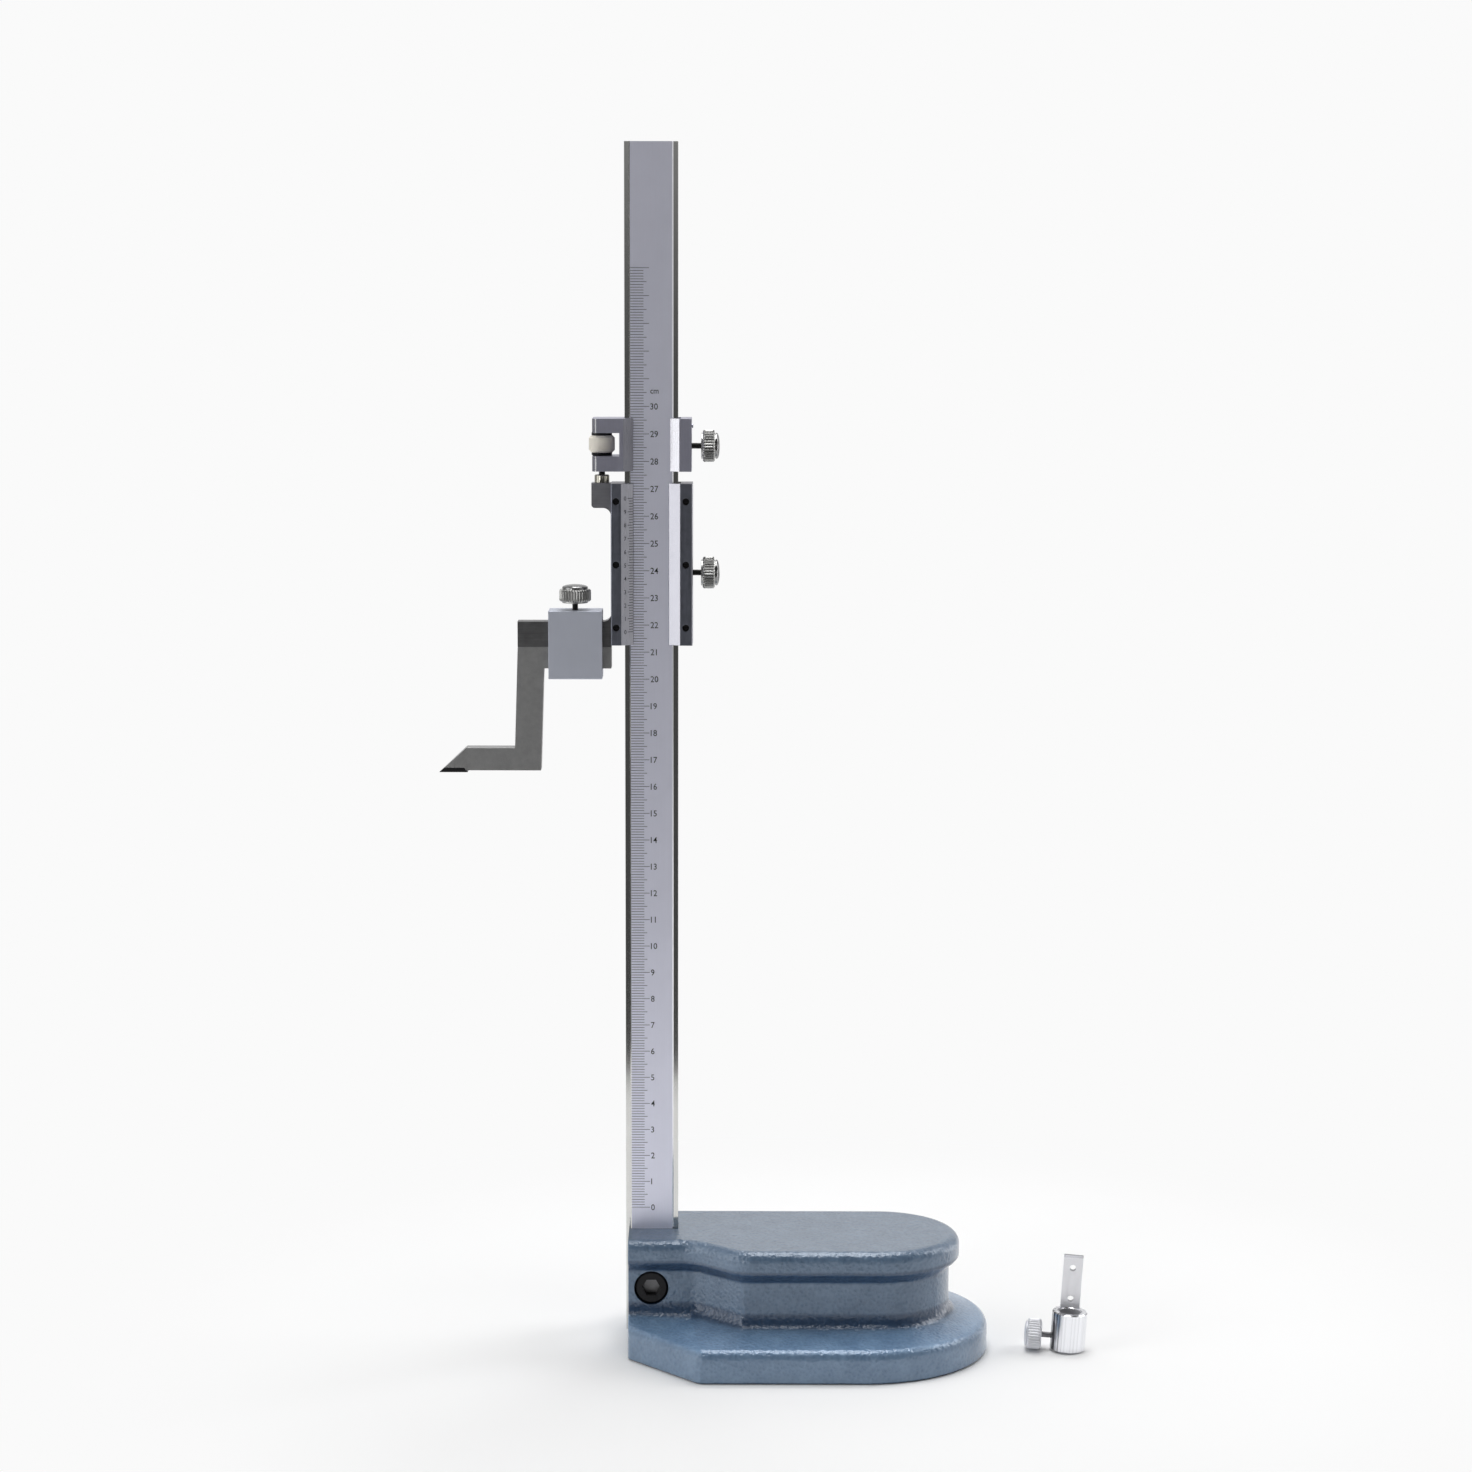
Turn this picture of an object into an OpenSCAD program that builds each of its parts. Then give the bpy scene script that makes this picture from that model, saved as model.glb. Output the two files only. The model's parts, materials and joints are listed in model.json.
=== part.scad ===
// Vernier height gauge: a cast base, a graduated beam, a slider with a carbide scriber,
// a fine-feed carriage above it, and the loose indicator holder that stands beside it.
// Millimetres. X runs to the right, Y away from the viewer, Z up.
// The origin is on the ground face, under the middle of the beam.

/* [Beam] */
// Width of the beam, across its graduated face
beam_w = 19.5; // [17:0.5:22]
// Thickness of the beam
beam_t = 8; // [7:0.5:9]
// Length of the beam, from the floor of its slot to its top
beam_len = 442.7; // [430:1:460]
// Width of the raised land that carries the scale
beam_land_w = 16.1; // [15:0.1:16.5]
// Depth of the rebates beside the land
beam_rebate = 0.4; // [0.2:0.1:0.6]
// Height of the zero line of the scale above the ground face
scale_zero_up = 52.5; // [50:0.5:60]
// Reading of the vernier, which is also the height of the scriber's lower face
reading = 217.6; // [200:0.1:230]

/* [Base] */
// Left end of the base, measured from the middle of the beam
base_left = 8.6; // [8:0.1:9.5]
// Right end of the flange, measured from the middle of the beam
flange_right = 126; // [120:1:132]
// Front edge of the flange
flange_front = 53.7; // [52:0.1:56]
// Back edge of the flange
flange_back = 41.3; // [40:0.1:44]
// Half width of the flange at its left end
flange_nose = 25.4; // [24:0.1:27]
// Place of the front corner where the nose meets the front edge
nose_front_run = 17.7; // [16:0.1:19]
// Place of the back corner where the nose meets the back edge
nose_back_run = 6.2; // [5:0.1:8]
// Right end of the top plate
top_right = 115.3; // [110:0.1:118]
// Front edge of the top plate on the wide part
top_front = 37.3; // [36:0.1:39]
// Back edge of the top plate
top_back = 23.5; // [22:0.1:25]
// Front edge of the top plate on the neck
neck_front = 22.2; // [21:0.1:24]
// Place where the neck starts to widen
neck_run = 15.5; // [14:0.1:17]
// Place where the wide part begins
shoulder_run = 32.4; // [31:0.1:35]
// Radius of the soft bends between neck and wide part
shoulder_r = 16; // [12:0.5:18]
// Height of the base
base_h = 44.3; // [43:0.1:48]
// Height of the upright wall of the flange
flange_wall_h = 8.5; // [7:0.1:9.5]
// Radius of the flange's upper edge
flange_round = 4; // [3:0.1:4.5]
// Height at which the fillet of the waist leaves the flange
crown_h = 14.6; // [14:0.1:15.5]
// Height at which that fillet reaches the waist wall
fillet_top_h = 20; // [18:0.1:21]
// Height at which the waist starts to flare under the top plate
waist_top_h = 31.7; // [30:0.1:33]
// Height of the lower edge of the top plate's rim
rim_low_h = 36.6; // [35.5:0.1:37.5]
// Radius of the top plate's upper edge
rim_round = 4; // [3:0.1:4.5]
// How far the waist wall stands back from the rim
waist_in = 3.8; // [3:0.1:4.5]
// Thickness of the floor under the beam
slot_floor = 5; // [4:0.5:7]
// Depth of the relief in the ground face
relief_depth = 1.2; // [0.8:0.1:2]
// Width of the ground rim round that relief
relief_rim = 13; // [11:0.5:16]

/* [Cap screw] */
// Diameter of the screw that clamps the beam in the base
cap_screw_d = 8; // [6:0.5:8]
// Diameter of its head
cap_head_d = 12.2; // [11:0.1:12.4]
// Height of its head
cap_head_h = 8; // [6:0.5:9]
// Diameter of the counterbore round the head
cap_bore_d = 12.8; // [12.6:0.1:14]
// Depth of the counterbore in the neck
cap_bore_depth = 8.5; // [8.2:0.1:10]
// Size across the flats of its socket
cap_socket_af = 6; // [5:0.5:7]
// Depth of its socket
cap_socket_depth = 4; // [3:0.5:5]
// Length of its shank
cap_shank_len = 24; // [20:1:26]
// Height of the screw above the ground face
cap_screw_up = 25.55; // [24:0.05:27]

/* [Slider] */
// Height of the slider
slider_h = 59.3; // [57:0.1:62]
// Height of the vernier's zero line above the slider's lower end
vernier_zero_up = 4.9; // [4:0.1:6]
// Thickness of the slider's left wall
slider_wall_left = 5; // [4.6:0.1:6]
// Thickness of the slider's right wall
slider_wall_right = 4.4; // [4:0.1:6]
// Thickness of the slider's back plate
slider_back_t = 2.7; // [2:0.1:4]
// Thickness of the front plates
plate_t = 2.65; // [2.4:0.05:3.5]
// Width of the flat strip on the vernier plate
vernier_strip_w = 3.8; // [3.4:0.1:4.2]
// Width of the flat strip on the guide plate
guide_strip_w = 4.55; // [3.4:0.05:5]
// How far the vernier plate reaches over the beam
vernier_lap = 3.13; // [2.6:0.01:3.6]
// How far the guide plate reaches over the beam
guide_lap = 3.33; // [2.6:0.01:3.6]
// Thickness of the plates' thin edge on the beam
lip_t = 0.2; // [0.15:0.05:0.4]
// Distance between the small screws of a plate
plate_screw_pitch = 23.15; // [20:0.05:25]
// Diameter of the holes for their heads
plate_hole_d = 2.6; // [2.6:0.1:3]
// Diameter of the heads of those screws
plate_head_d = 2.4; // [2:0.1:2.4]
// Diameter of their shanks
plate_screw_d = 1.6; // [1.4:0.1:1.8]
// Length of their shanks
plate_shank_len = 3.4; // [2.5:0.1:4]
// Size of the chamfers on the plates' outer upright edges
plate_chamfer = 0.3; // [0.1:0.1:0.5]
// Width of the lug that holds the feed screw
lug_w = 7.15; // [6.5:0.05:8]
// Height of that lug
lug_h = 9.1; // [8:0.1:11]
// Radius of the fillets where lug and arm meet the slider
joint_r = 3; // [2:0.1:4]
// Radius of the lug's lower corner
lug_corner_r = 1.2; // [0.5:0.1:2]
// Distance of the slider's lock screw below the slider's middle
slider_lock_drop = 3.3; // [0:0.05:8]

/* [Arm and scriber] */
// Thickness of the arm, the lug and the scriber
arm_t = 6.4; // [5:0.1:8]
// Height of the arm
arm_h = 9.35; // [8:0.05:10]
// How far the arm reaches below the slider's lower end
arm_drop = 0.95; // [0.6:0.05:1.5]
// Height of the scriber's shank
shank_h = 7.9; // [7:0.05:9]
// Width of the scriber's limb
limb_w = 9.55; // [8:0.05:10]
// How far the limb leans out over its height
limb_lean = 1.2; // [0:0.1:2]
// Height of the scriber's foot
foot_h = 9.1; // [8:0.1:10]
// Length of the foot's upper edge, from the limb to the slant
foot_top_len = 18; // [15:0.1:20]
// Run of the slant that makes the point
point_run = 10.05; // [8:0.05:12]
// Height of the step between the foot and the carbide tip
tip_step = 0.7; // [0.4:0.1:1]
// Thickness of the carbide tip
tip_t = 1.7; // [1.4:0.1:2.2]
// Length of the carbide tip
tip_len = 10.5; // [9:0.1:12]
// Run of the sloping end of the carbide tip
tip_end_run = 1.3; // [1:0.1:1.8]
// Angle of the bevel ground on the back of the point, in degrees
point_bevel = 30; // [25:1:40]
// Thickness left at the point by that bevel
point_land = 1.2; // [0.8:0.1:2]

/* [Clamp box] */
// Width of the box along the arm
box_w = 19.75; // [16:0.05:21]
// Height of the box
box_h = 25.2; // [25:0.05:27]
// Thickness of its upper wall
box_top_wall = 3.45; // [3:0.05:3.6]
// Thickness of its lower wall
box_low_wall = 3.7; // [3:0.05:3.8]
// Thickness of its front and back walls
box_side_wall = 2.45; // [2:0.05:4]
// Size of the chamfers along the box
box_chamfer = 0.25; // [0.1:0.05:0.5]
// Distance between the box and the slider
box_stand_off = 3.3; // [3.1:0.05:4]
// Distance between the box and the scriber's limb
box_limb_gap = 1.85; // [1:0.05:5]
// Distance of the clamp screw from the middle of the box
box_screw_off = 0.2; // [-1:0.1:1]

/* [Carriage] */
// Height of the carriage
carriage_h = 19.2; // [18:0.1:22]
// Distance between the slider and the carriage
carriage_gap = 4.45; // [4.3:0.05:6]
// Length of the block left of the beam that holds the nut
yoke_len = 11.7; // [11.5:0.1:13]
// Thickness of the carriage's right wall
carriage_wall_right = 3.98; // [3.5:0.02:6]
// Thickness of the carriage's back plate
carriage_back_t = 3.1; // [2.4:0.1:4]
// Thickness of the carriage's front, over the beam
carriage_front_t = 3.05; // [2.4:0.05:4]
// How far the left lip reaches over the beam
carriage_lap_left = 3.05; // [2.6:0.05:3.6]
// How far the right lip reaches over the beam
carriage_lap_right = 2.87; // [2.6:0.01:3.6]
// Width of the bevel on the lips
carriage_bevel_w = 3.35; // [3:0.05:4]
// Radius of the yoke's upright edges
yoke_round = 1.5; // [1:0.1:2]
// Height of the window above the carriage's lower end
window_up = 5.5; // [5:0.1:6]
// Height of the window
window_h = 8.5; // [8.5:0.1:9]
// Depth of the window from the yoke's left face
window_len = 9.9; // [9.7:0.1:10]
// Height of the carriage's lock screw above its lower end
carriage_lock_up = 9.05; // [8:0.05:10]
// Height of the gib pin above the carriage's lower end
gib_pin_up = 16.25; // [15:0.05:17]
// Diameter of the gib pin
gib_pin_d = 1.4; // [1:0.1:2]

/* [Fine feed] */
// Diameter of the feed screw
feed_screw_d = 2.5; // [2:0.1:3]
// Length of the feed screw inside the lug
feed_tail = 7; // [5:0.1:8]
// How far the feed screw stands above the nut's window
feed_over = 0.6; // [0.4:0.1:1]
// Diameter of the nut
nut_d = 9.6; // [8:0.1:10]
// Height of the nut's knurled rim
nut_rim_h = 6.2; // [6:0.1:6.8]
// Diameter of the nut's hubs
nut_hub_d = 7.5; // [6:0.1:7.8]
// Size of the chamfers on the nut's rim
nut_chamfer = 0.9; // [0.4:0.1:1]
// Diameter of the collar that locks the feed screw in the lug
collar_d = 5.45; // [4.5:0.05:5.8]
// Height of that collar
collar_h = 3; // [2:0.1:3.1]

/* [Thumb screws] */
// Diameter of the threads
thumb_stem_d = 2.3; // [2:0.1:3]
// Diameter of the knurled grips
grip_d = 11.7; // [11:0.1:12]
// Length of the knurled grips
grip_h = 4.4; // [3.5:0.1:5]
// Number of flutes on a grip
grip_flutes = 48; // [36:1:48]
// Depth of the flutes
flute_depth = 0.3; // [0.2:0.05:0.4]
// Size of the chamfers on the grips
grip_chamfer = 0.45; // [0.3:0.05:0.6]
// Diameter of the collar under a grip
grip_collar_d = 9.6; // [8:0.1:10]
// Length of that collar
grip_collar_h = 0.6; // [0.4:0.1:1]
// Diameter of the domed cap on a grip
dome_d = 9.5; // [9:0.1:9.8]
// Height of the domed cap, with the groove under it
dome_h = 1.8; // [1.4:0.1:2]
// Length of the stems on the slider and the carriage, from their tips to their collars
side_stem_len = 7.5; // [6.8:0.1:9]
// Free length of the stem on the clamp box
box_stem_free = 2.55; // [2:0.05:3]
// Free length of the stem on the loose holder
holder_stem_free = 3.4; // [3:0.1:4]
// Diameter of the holder's grip
holder_grip_d = 11.5; // [11:0.1:12]
// Length of the holder's grip
holder_grip_h = 5; // [4:0.1:6]
// Length of the collar under the holder's grip
holder_collar_h = 0.3; // [0.2:0.1:0.6]
// Height of the holder's domed cap
holder_dome_h = 1.2; // [1:0.1:1.6]

/* [Loose holder] */
// Distance of the holder from the middle of the beam, at its foot
holder_right = 156; // [150:1:170]
// Distance of the holder in front of the middle of the beam
holder_front = 11.8; // [0:0.1:20]
// Lean of the holder, which rests on the rim of its grip, in degrees
holder_lean = 3.5; // [3:0.1:5]
// Turn of the holder, clockwise from above, in degrees
holder_turn = 5; // [0:1:20]
// Outer diameter of the sleeve
sleeve_d = 13.1; // [13:0.1:14]
// Diameter of the sleeve's bore
sleeve_bore_d = 8.1; // [7.6:0.1:8.2]
// Height of the sleeve
sleeve_h = 14.75; // [14:0.05:17]
// Size of the sleeve's outer chamfers
sleeve_chamfer = 0.4; // [0.3:0.1:0.7]
// Width of the blade
blade_w = 7.3; // [6:0.1:7.6]
// Thickness of the blade
blade_t = 2; // [1.6:0.1:2]
// Height of the top of the blade above the sleeve's foot
blade_top = 34.7; // [33:0.1:38]
// Distance of the blade's foot above the sleeve's foot
blade_foot = 1; // [0.5:0.1:3]
// Diameter of the holes in the blade
blade_hole_d = 2.3; // [2:0.1:3]
// Height of the lower hole above the sleeve's foot
blade_hole_low = 18.1; // [17.5:0.1:20]
// Distance between the two holes
blade_hole_pitch = 11.95; // [11:0.05:13]
// Size of the chamfer on the blade's top edge
blade_chamfer = 0.6; // [0.3:0.1:0.8]

/* [Fits] */
// Gap between the beam and what slides on it
slide_gap = 0.05; // [0.03:0.01:0.08]
// Gap between the beam's faces and the plates that hold it
face_gap = 0.1; // [0.05:0.01:0.15]
// Thickness of the gib strips
gib_t = 0.8; // [0.6:0.05:1]
// Gap between a gib strip and the wall behind it
gib_gap = 0.1; // [0.05:0.01:0.2]
// Radial gap between a thread and its tapped hole
thread_gap = 0.05; // [0.03:0.01:0.08]
// Radial gap between the feed screw and the yoke it passes through
feed_gap = 0.2; // [0.1:0.05:0.3]
// Gap between clamped faces
clamp_gap = 0.05; // [0.03:0.01:0.1]
// End gap of the nut in its window
nut_gap = 0.1; // [0.05:0.05:0.2]

/* [Hidden] */

$fn = 48;
// One overrun for all cuts
cut = 1;
// Corner radii and steps of the base's outlines
nose_r = 3;
flange_corner_r = 3;
waist_corner_r = 2;
least_r = 0.4;
foot_edge = 0.8;
corner_steps = 5;
end_steps = 12;
round_steps = 5;
fillet_steps = 5;
flare_steps = 6;
// Share of the flange's slope that lies before the fillet starts
crown_share = 0.69;
// Angle at which the flange's rounding turns into the slope of its top
round_end = 75;
// Small features of single pieces
edge_break = 0.4;
relief_left = 22;
cap_chamfer = 0.6;
tapped_depth = 12;
plate_head_h = 1.1;
plate_head_sink = 0.75;
plate_slot_w = 0.4;
plate_slot_depth = 0.45;
gib_w = 6.8;
gib_end = 1.5;
gib_pin_head = 0.55;
collar_chamfer = 0.35;
bore_chamfer = 0.45;
groove_h = 0.25;
groove_depth = 0.4;
dome_wall_share = 0.3;
dome_steps = 6;
round_points = 6;
yoke_bore_over = 3;
web_t = 0.4;

// Places across the beam
beam_hw = beam_w / 2;
beam_hy = beam_t / 2;
channel_left = -(beam_hw + slide_gap);
gib_left = beam_hw + slide_gap;
channel_right = gib_left + gib_t + gib_gap;
channel_front = -(beam_hy + face_gap);
channel_back = beam_hy + face_gap;
slider_left = channel_left - slider_wall_left;
slider_right = channel_right + slider_wall_right;
slider_front = channel_front - plate_t;
carriage_left = channel_left - yoke_len;
carriage_right = channel_right + carriage_wall_right;
carriage_front = channel_front - carriage_front_t;
carriage_back = channel_back + carriage_back_t;

// Heights
slider_low = scale_zero_up + reading - vernier_zero_up;
slider_top = slider_low + slider_h;
carriage_low = slider_top + carriage_gap;
window_low = carriage_low + window_up;
window_top = window_low + window_h;
tip_low = reading;
arm_low = slider_low - arm_drop;
arm_top = arm_low + arm_h;
shank_top = arm_low - clamp_gap;
shank_low = shank_top - shank_h;
box_low = shank_low - clamp_gap - box_low_wall;
box_top = box_low + box_h;
slider_mid = slider_low + slider_h / 2;
slider_lock_z = slider_mid - slider_lock_drop;
plate_screw_rows = [for (i = [-1:1]) slider_mid + i * plate_screw_pitch];
vernier_screw_x = slider_left + vernier_strip_w / 2;
guide_screw_x = slider_right - guide_strip_w / 2 - edge_break / 2;
feed_x = slider_left - lug_w / 2 + edge_break / 2;
box_right = slider_left - box_stand_off;
box_left = box_right - box_w;
arm_left = box_left - box_limb_gap - limb_w;
arm_len = slider_left - arm_left;
box_screw_x = (box_left + box_right) / 2 - box_screw_off;

// Right ends of the base's outlines, which are half circles
flange_end_r = (flange_front + flange_back) / 2;
top_end_r = (top_front + top_back) / 2;

// Loose holder
sleeve_foot_r = sleeve_d / 2 - sleeve_chamfer;
grip_rim_x = sleeve_d / 2 + holder_stem_free + holder_collar_h + grip_chamfer;
holder_screw_up = holder_grip_d / 2 - (sleeve_foot_r + grip_rim_x) * tan(holder_lean);
blade_front = sleeve_bore_d / 2 + web_t;

// Outline of the flange, seen from above, counter-clockwise from the nose's front corner
flange_corners = [
    [-base_left, -flange_nose],
    [nose_front_run, -flange_front],
    [shoulder_run, -flange_front],
    [flange_right, -flange_front],
    [flange_right, flange_back],
    [nose_back_run, flange_back],
    [-base_left, flange_nose],
];
flange_radii = [
    nose_r, flange_corner_r, flange_corner_r, flange_end_r, flange_end_r, flange_corner_r, nose_r,
];
// Outline of the top plate, in the same order
top_corners = [
    [-base_left, -neck_front],
    [neck_run, -neck_front],
    [shoulder_run, -top_front],
    [top_right, -top_front],
    [top_right, top_back],
    [nose_back_run, top_back],
    [-base_left, top_back],
];
top_radii = [least_r, shoulder_r, shoulder_r, top_end_r, top_end_r, shoulder_r, least_r];
waist_radii = [
    least_r, waist_corner_r, waist_corner_r + waist_in, top_end_r, top_end_r, shoulder_r, least_r,
];
steps_at = [
    corner_steps, corner_steps, corner_steps, end_steps, end_steps, corner_steps, corner_steps,
];

// Unit vector, and the cross product of two plane vectors
function unit(v) = v / norm(v);
function turn(u, v) = u[0] * v[1] - u[1] * v[0];
// Inward normal of the side from p to q of a counter-clockwise outline
function inward(p, q) = [-(q - p)[1], (q - p)[0]] / norm(q - p);
// A corner moved inward: d_in from the side before it and d_out from the side after it
function moved(a, b, c, d_in, d_out) =
    let (m = inward(a, b), n = inward(b, c), t = turn(m, n))
    abs(t) < 0.001 ? b + m * d_in
    : b + [d_in * n[1] - d_out * m[1], d_out * m[0] - d_in * n[0]] / t;
// All corners moved inward by d, except along the flat left end
function inset(corners, d) =
    let (n = len(corners))
    [for (i = [0:n - 1])
        moved(corners[(i + n - 1) % n], corners[i], corners[(i + 1) % n],
            i == 0 ? 0 : d, i == n - 1 ? 0 : d)];
// The points of the arc that rounds corner b, or points spread along a straight run
function rounded(a, b, c, r, steps) =
    let (u = unit(a - b), w = unit(c - b), half = acos(max(-1, min(1, u * w))) / 2)
    half > 89 ? [for (k = [0:steps]) b + u * r * (0.5 - k / steps)]
    : let (centre = b + unit(u + w) * r / sin(half), p = b + u * r / tan(half), q = b + w * r / tan(half),
        from = atan2((p - centre)[1], (p - centre)[0]), to = atan2((q - centre)[1], (q - centre)[0]),
        sweep = (to - from + 540) % 360 - 180)
      [for (k = [0:steps])
        centre + r * [cos(from + sweep * k / steps), sin(from + sweep * k / steps)]];
// The whole outline, moved inward by d, with its corners rounded
function outline(corners, radii, d) =
    let (n = len(corners), moved_in = inset(corners, d))
    [for (i = [0:n - 1])
        let (a = moved_in[(i + n - 1) % n], b = moved_in[i], c = moved_in[(i + 1) % n],
            bend = turn(b - a, c - b) < 0 ? 1 : -1)
        each rounded(a, b, c, max(least_r, radii[i] + bend * d), steps_at[i])];
// Points between two outlines
function between(p, q, share) = [for (i = [0:len(p) - 1]) p[i] * (1 - share) + q[i] * share];
// An outline lifted to a height
function ring(points, z) = [for (p = points) [p[0], p[1], z]];

// A closed skin over a stack of rings with the same number of points
module skin(rings) {
    n = len(rings[0]);
    last = len(rings) - 1;
    quads = [for (k = [0:last - 1], i = [0:n - 1])
        let (j = (i + 1) % n) [k * n + i, (k + 1) * n + i, (k + 1) * n + j, k * n + j]];
    polyhedron(
        points = [for (r = rings) each r],
        faces = concat(
            [[for (i = [0:n - 1]) i]],
            [for (q = quads) [q[0], q[1], q[2]]],
            [for (q = quads) [q[0], q[2], q[3]]],
            [[for (i = [n - 1:-1:0]) last * n + i]]),
        convexity = 6);
}

// The casting: flange with a rounded upper edge, a slope that rises to a fillet, the waist,
// a flare, and the top plate's rounded rim
module casting() {
    flange_in = outline(flange_corners, flange_radii, flange_round * (1 - cos(round_end)));
    waist = outline(top_corners, waist_radii, waist_in);
    rim = outline(top_corners, top_radii, 0);
    skin(concat(
        [ring(outline(flange_corners, flange_radii, foot_edge), 0),
            ring(outline(flange_corners, flange_radii, 0), foot_edge)],
        [for (k = [0:round_steps]) let (a = round_end * k / round_steps)
            ring(outline(flange_corners, flange_radii, flange_round * (1 - cos(a))),
                flange_wall_h + flange_round * sin(a))],
        [ring(between(flange_in, waist, crown_share), crown_h)],
        [for (k = [1:fillet_steps]) let (a = 90 * k / fillet_steps)
            ring(between(flange_in, waist, crown_share + (1 - crown_share) * sin(a)),
                crown_h + (fillet_top_h - crown_h) * (1 - cos(a)))],
        [for (k = [0:flare_steps]) let (s = k / flare_steps)
            ring(between(waist, rim, (1 - cos(180 * s)) / 2), waist_top_h + (rim_low_h - waist_top_h) * s)],
        [for (k = [0:round_steps]) let (a = 90 * k / round_steps)
            ring(outline(top_corners, top_radii, rim_round * (1 - cos(a))),
                base_h - rim_round * (1 - sin(a)))]
    ));
}

module base() {
    color("#5d7f97")
    difference() {
        casting();
        // Slot for the beam, open to the left
        translate([-base_left - cut, -beam_hy - slide_gap, slot_floor])
            cube([base_left + beam_hw + slide_gap + cut, beam_t + 2 * slide_gap, base_h]);
        // Counterbore, clearance hole and tapped hole of the cap screw
        translate([0, -neck_front - cut, cap_screw_up]) rotate([-90, 0, 0])
            cylinder(d = cap_bore_d, h = cut + waist_in + cap_bore_depth);
        translate([0, -neck_front, cap_screw_up]) rotate([-90, 0, 0])
            cylinder(d = cap_screw_d + 2 * thread_gap, h = neck_front + beam_hy + tapped_depth);
        // Relief that leaves a ground rim
        translate([0, 0, -cut]) linear_extrude(cut + relief_depth)
            intersection() {
                polygon(outline(flange_corners, flange_radii, relief_rim));
                translate([relief_left, -flange_front]) square([flange_right, flange_front + flange_back]);
            }
    }
}

module base_cap_screw() {
    seat = -neck_front + waist_in + cap_bore_depth;
    color("#1d1d1f")
    translate([0, seat, cap_screw_up]) rotate([-90, 0, 0])
        difference() {
            rotate_extrude() polygon([
                [0, -cap_head_h],
                [cap_head_d / 2 - cap_chamfer, -cap_head_h],
                [cap_head_d / 2, -cap_head_h + cap_chamfer],
                [cap_head_d / 2, 0],
                [cap_screw_d / 2, 0],
                [cap_screw_d / 2, cap_shank_len - cap_chamfer],
                [cap_screw_d / 2 - cap_chamfer, cap_shank_len],
                [0, cap_shank_len],
            ]);
            translate([0, 0, -cap_head_h - cut])
                cylinder(d = cap_socket_af / cos(30), h = cut + cap_socket_depth, $fn = 6);
        }
}

// Outline of the beam across its length: a land on each face between two rebates
module beam_section() {
    land = beam_land_w / 2;
    for (turned = [0, 180]) rotate(turned) polygon([
        [-beam_hw, 0],
        [-beam_hw, -beam_hy + beam_rebate],
        [-land, -beam_hy + beam_rebate],
        [-land + beam_rebate, -beam_hy],
        [land - beam_rebate, -beam_hy],
        [land, -beam_hy + beam_rebate],
        [beam_hw, -beam_hy + beam_rebate],
        [beam_hw, 0],
    ]);
}

module beam() {
    color("#c3c3cb")
    difference() {
        translate([0, 0, slot_floor]) linear_extrude(beam_len) beam_section();
        translate([0, beam_hy + cut, cap_screw_up]) rotate([90, 0, 0])
            cylinder(d = cap_screw_d + 2 * face_gap, h = beam_t + 2 * cut);
    }
}

// A square corner filled by a concave arc, with the corner at the origin
module fillet(r) {
    difference() {
        translate([-edge_break, -edge_break]) square(r + edge_break);
        translate([r, r]) circle(r);
    }
}

// Side view of the lug and the arm on the slider's left wall
module wing_side() {
    lug_left = slider_left - lug_w;
    lug_low = slider_top - lug_h;
    difference() {
        translate([lug_left, lug_low]) square([lug_w + edge_break, lug_h]);
        translate([lug_left + lug_corner_r, lug_low + lug_corner_r]) difference() {
            translate([-lug_corner_r - cut, -lug_corner_r - cut]) square(lug_corner_r + cut);
            circle(lug_corner_r);
        }
    }
    translate([slider_left, lug_low]) rotate(180) fillet(joint_r);
    translate([arm_left, arm_low]) square([arm_len, arm_h]);
    translate([arm_left, slider_low]) square([arm_len + edge_break, arm_top - slider_low]);
    translate([slider_left, arm_top]) rotate(90) fillet(joint_r);
}

module slider_frame() {
    back = channel_back + slider_back_t;
    color("#75757c")
    difference() {
        union() {
            translate([0, 0, slider_low]) linear_extrude(slider_h) polygon([
                [slider_left, channel_front],
                [channel_left, channel_front],
                [channel_left, channel_back],
                [channel_right, channel_back],
                [channel_right, channel_front],
                [slider_right, channel_front],
                [slider_right, back - edge_break],
                [slider_right - edge_break, back],
                [slider_left + edge_break, back],
                [slider_left, back - edge_break],
            ]);
            translate([0, arm_t / 2, 0]) rotate([90, 0, 0]) linear_extrude(arm_t) wing_side();
        }
        // Tapped hole of the feed screw, in the lug
        translate([feed_x, 0, slider_top - lug_h - joint_r])
            cylinder(d = feed_screw_d + 2 * thread_gap, h = lug_h + joint_r + cut);
        // Tapped hole of the lock screw, in the right wall
        translate([channel_right - cut, 0, slider_lock_z]) rotate([0, 90, 0])
            cylinder(d = thumb_stem_d + 2 * thread_gap, h = slider_wall_right + 2 * cut);
        // Tapped holes of the plates' screws
        for (x = [vernier_screw_x, guide_screw_x], z = plate_screw_rows)
            translate([x, channel_front - cut, z]) rotate([-90, 0, 0])
                cylinder(d = plate_screw_d + 2 * thread_gap, h = cut + plate_shank_len + cut);
    }
}

// Holes for the small screws of a front plate, at the given distance from the beam's middle
module plate_holes(x) {
    for (z = plate_screw_rows) translate([x, slider_front - cut, z]) rotate([-90, 0, 0]) {
        cylinder(d = plate_hole_d, h = cut + plate_head_sink + plate_head_h);
        cylinder(d = plate_screw_d + 2 * thread_gap, h = plate_t + 2 * cut);
    }
}

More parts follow.
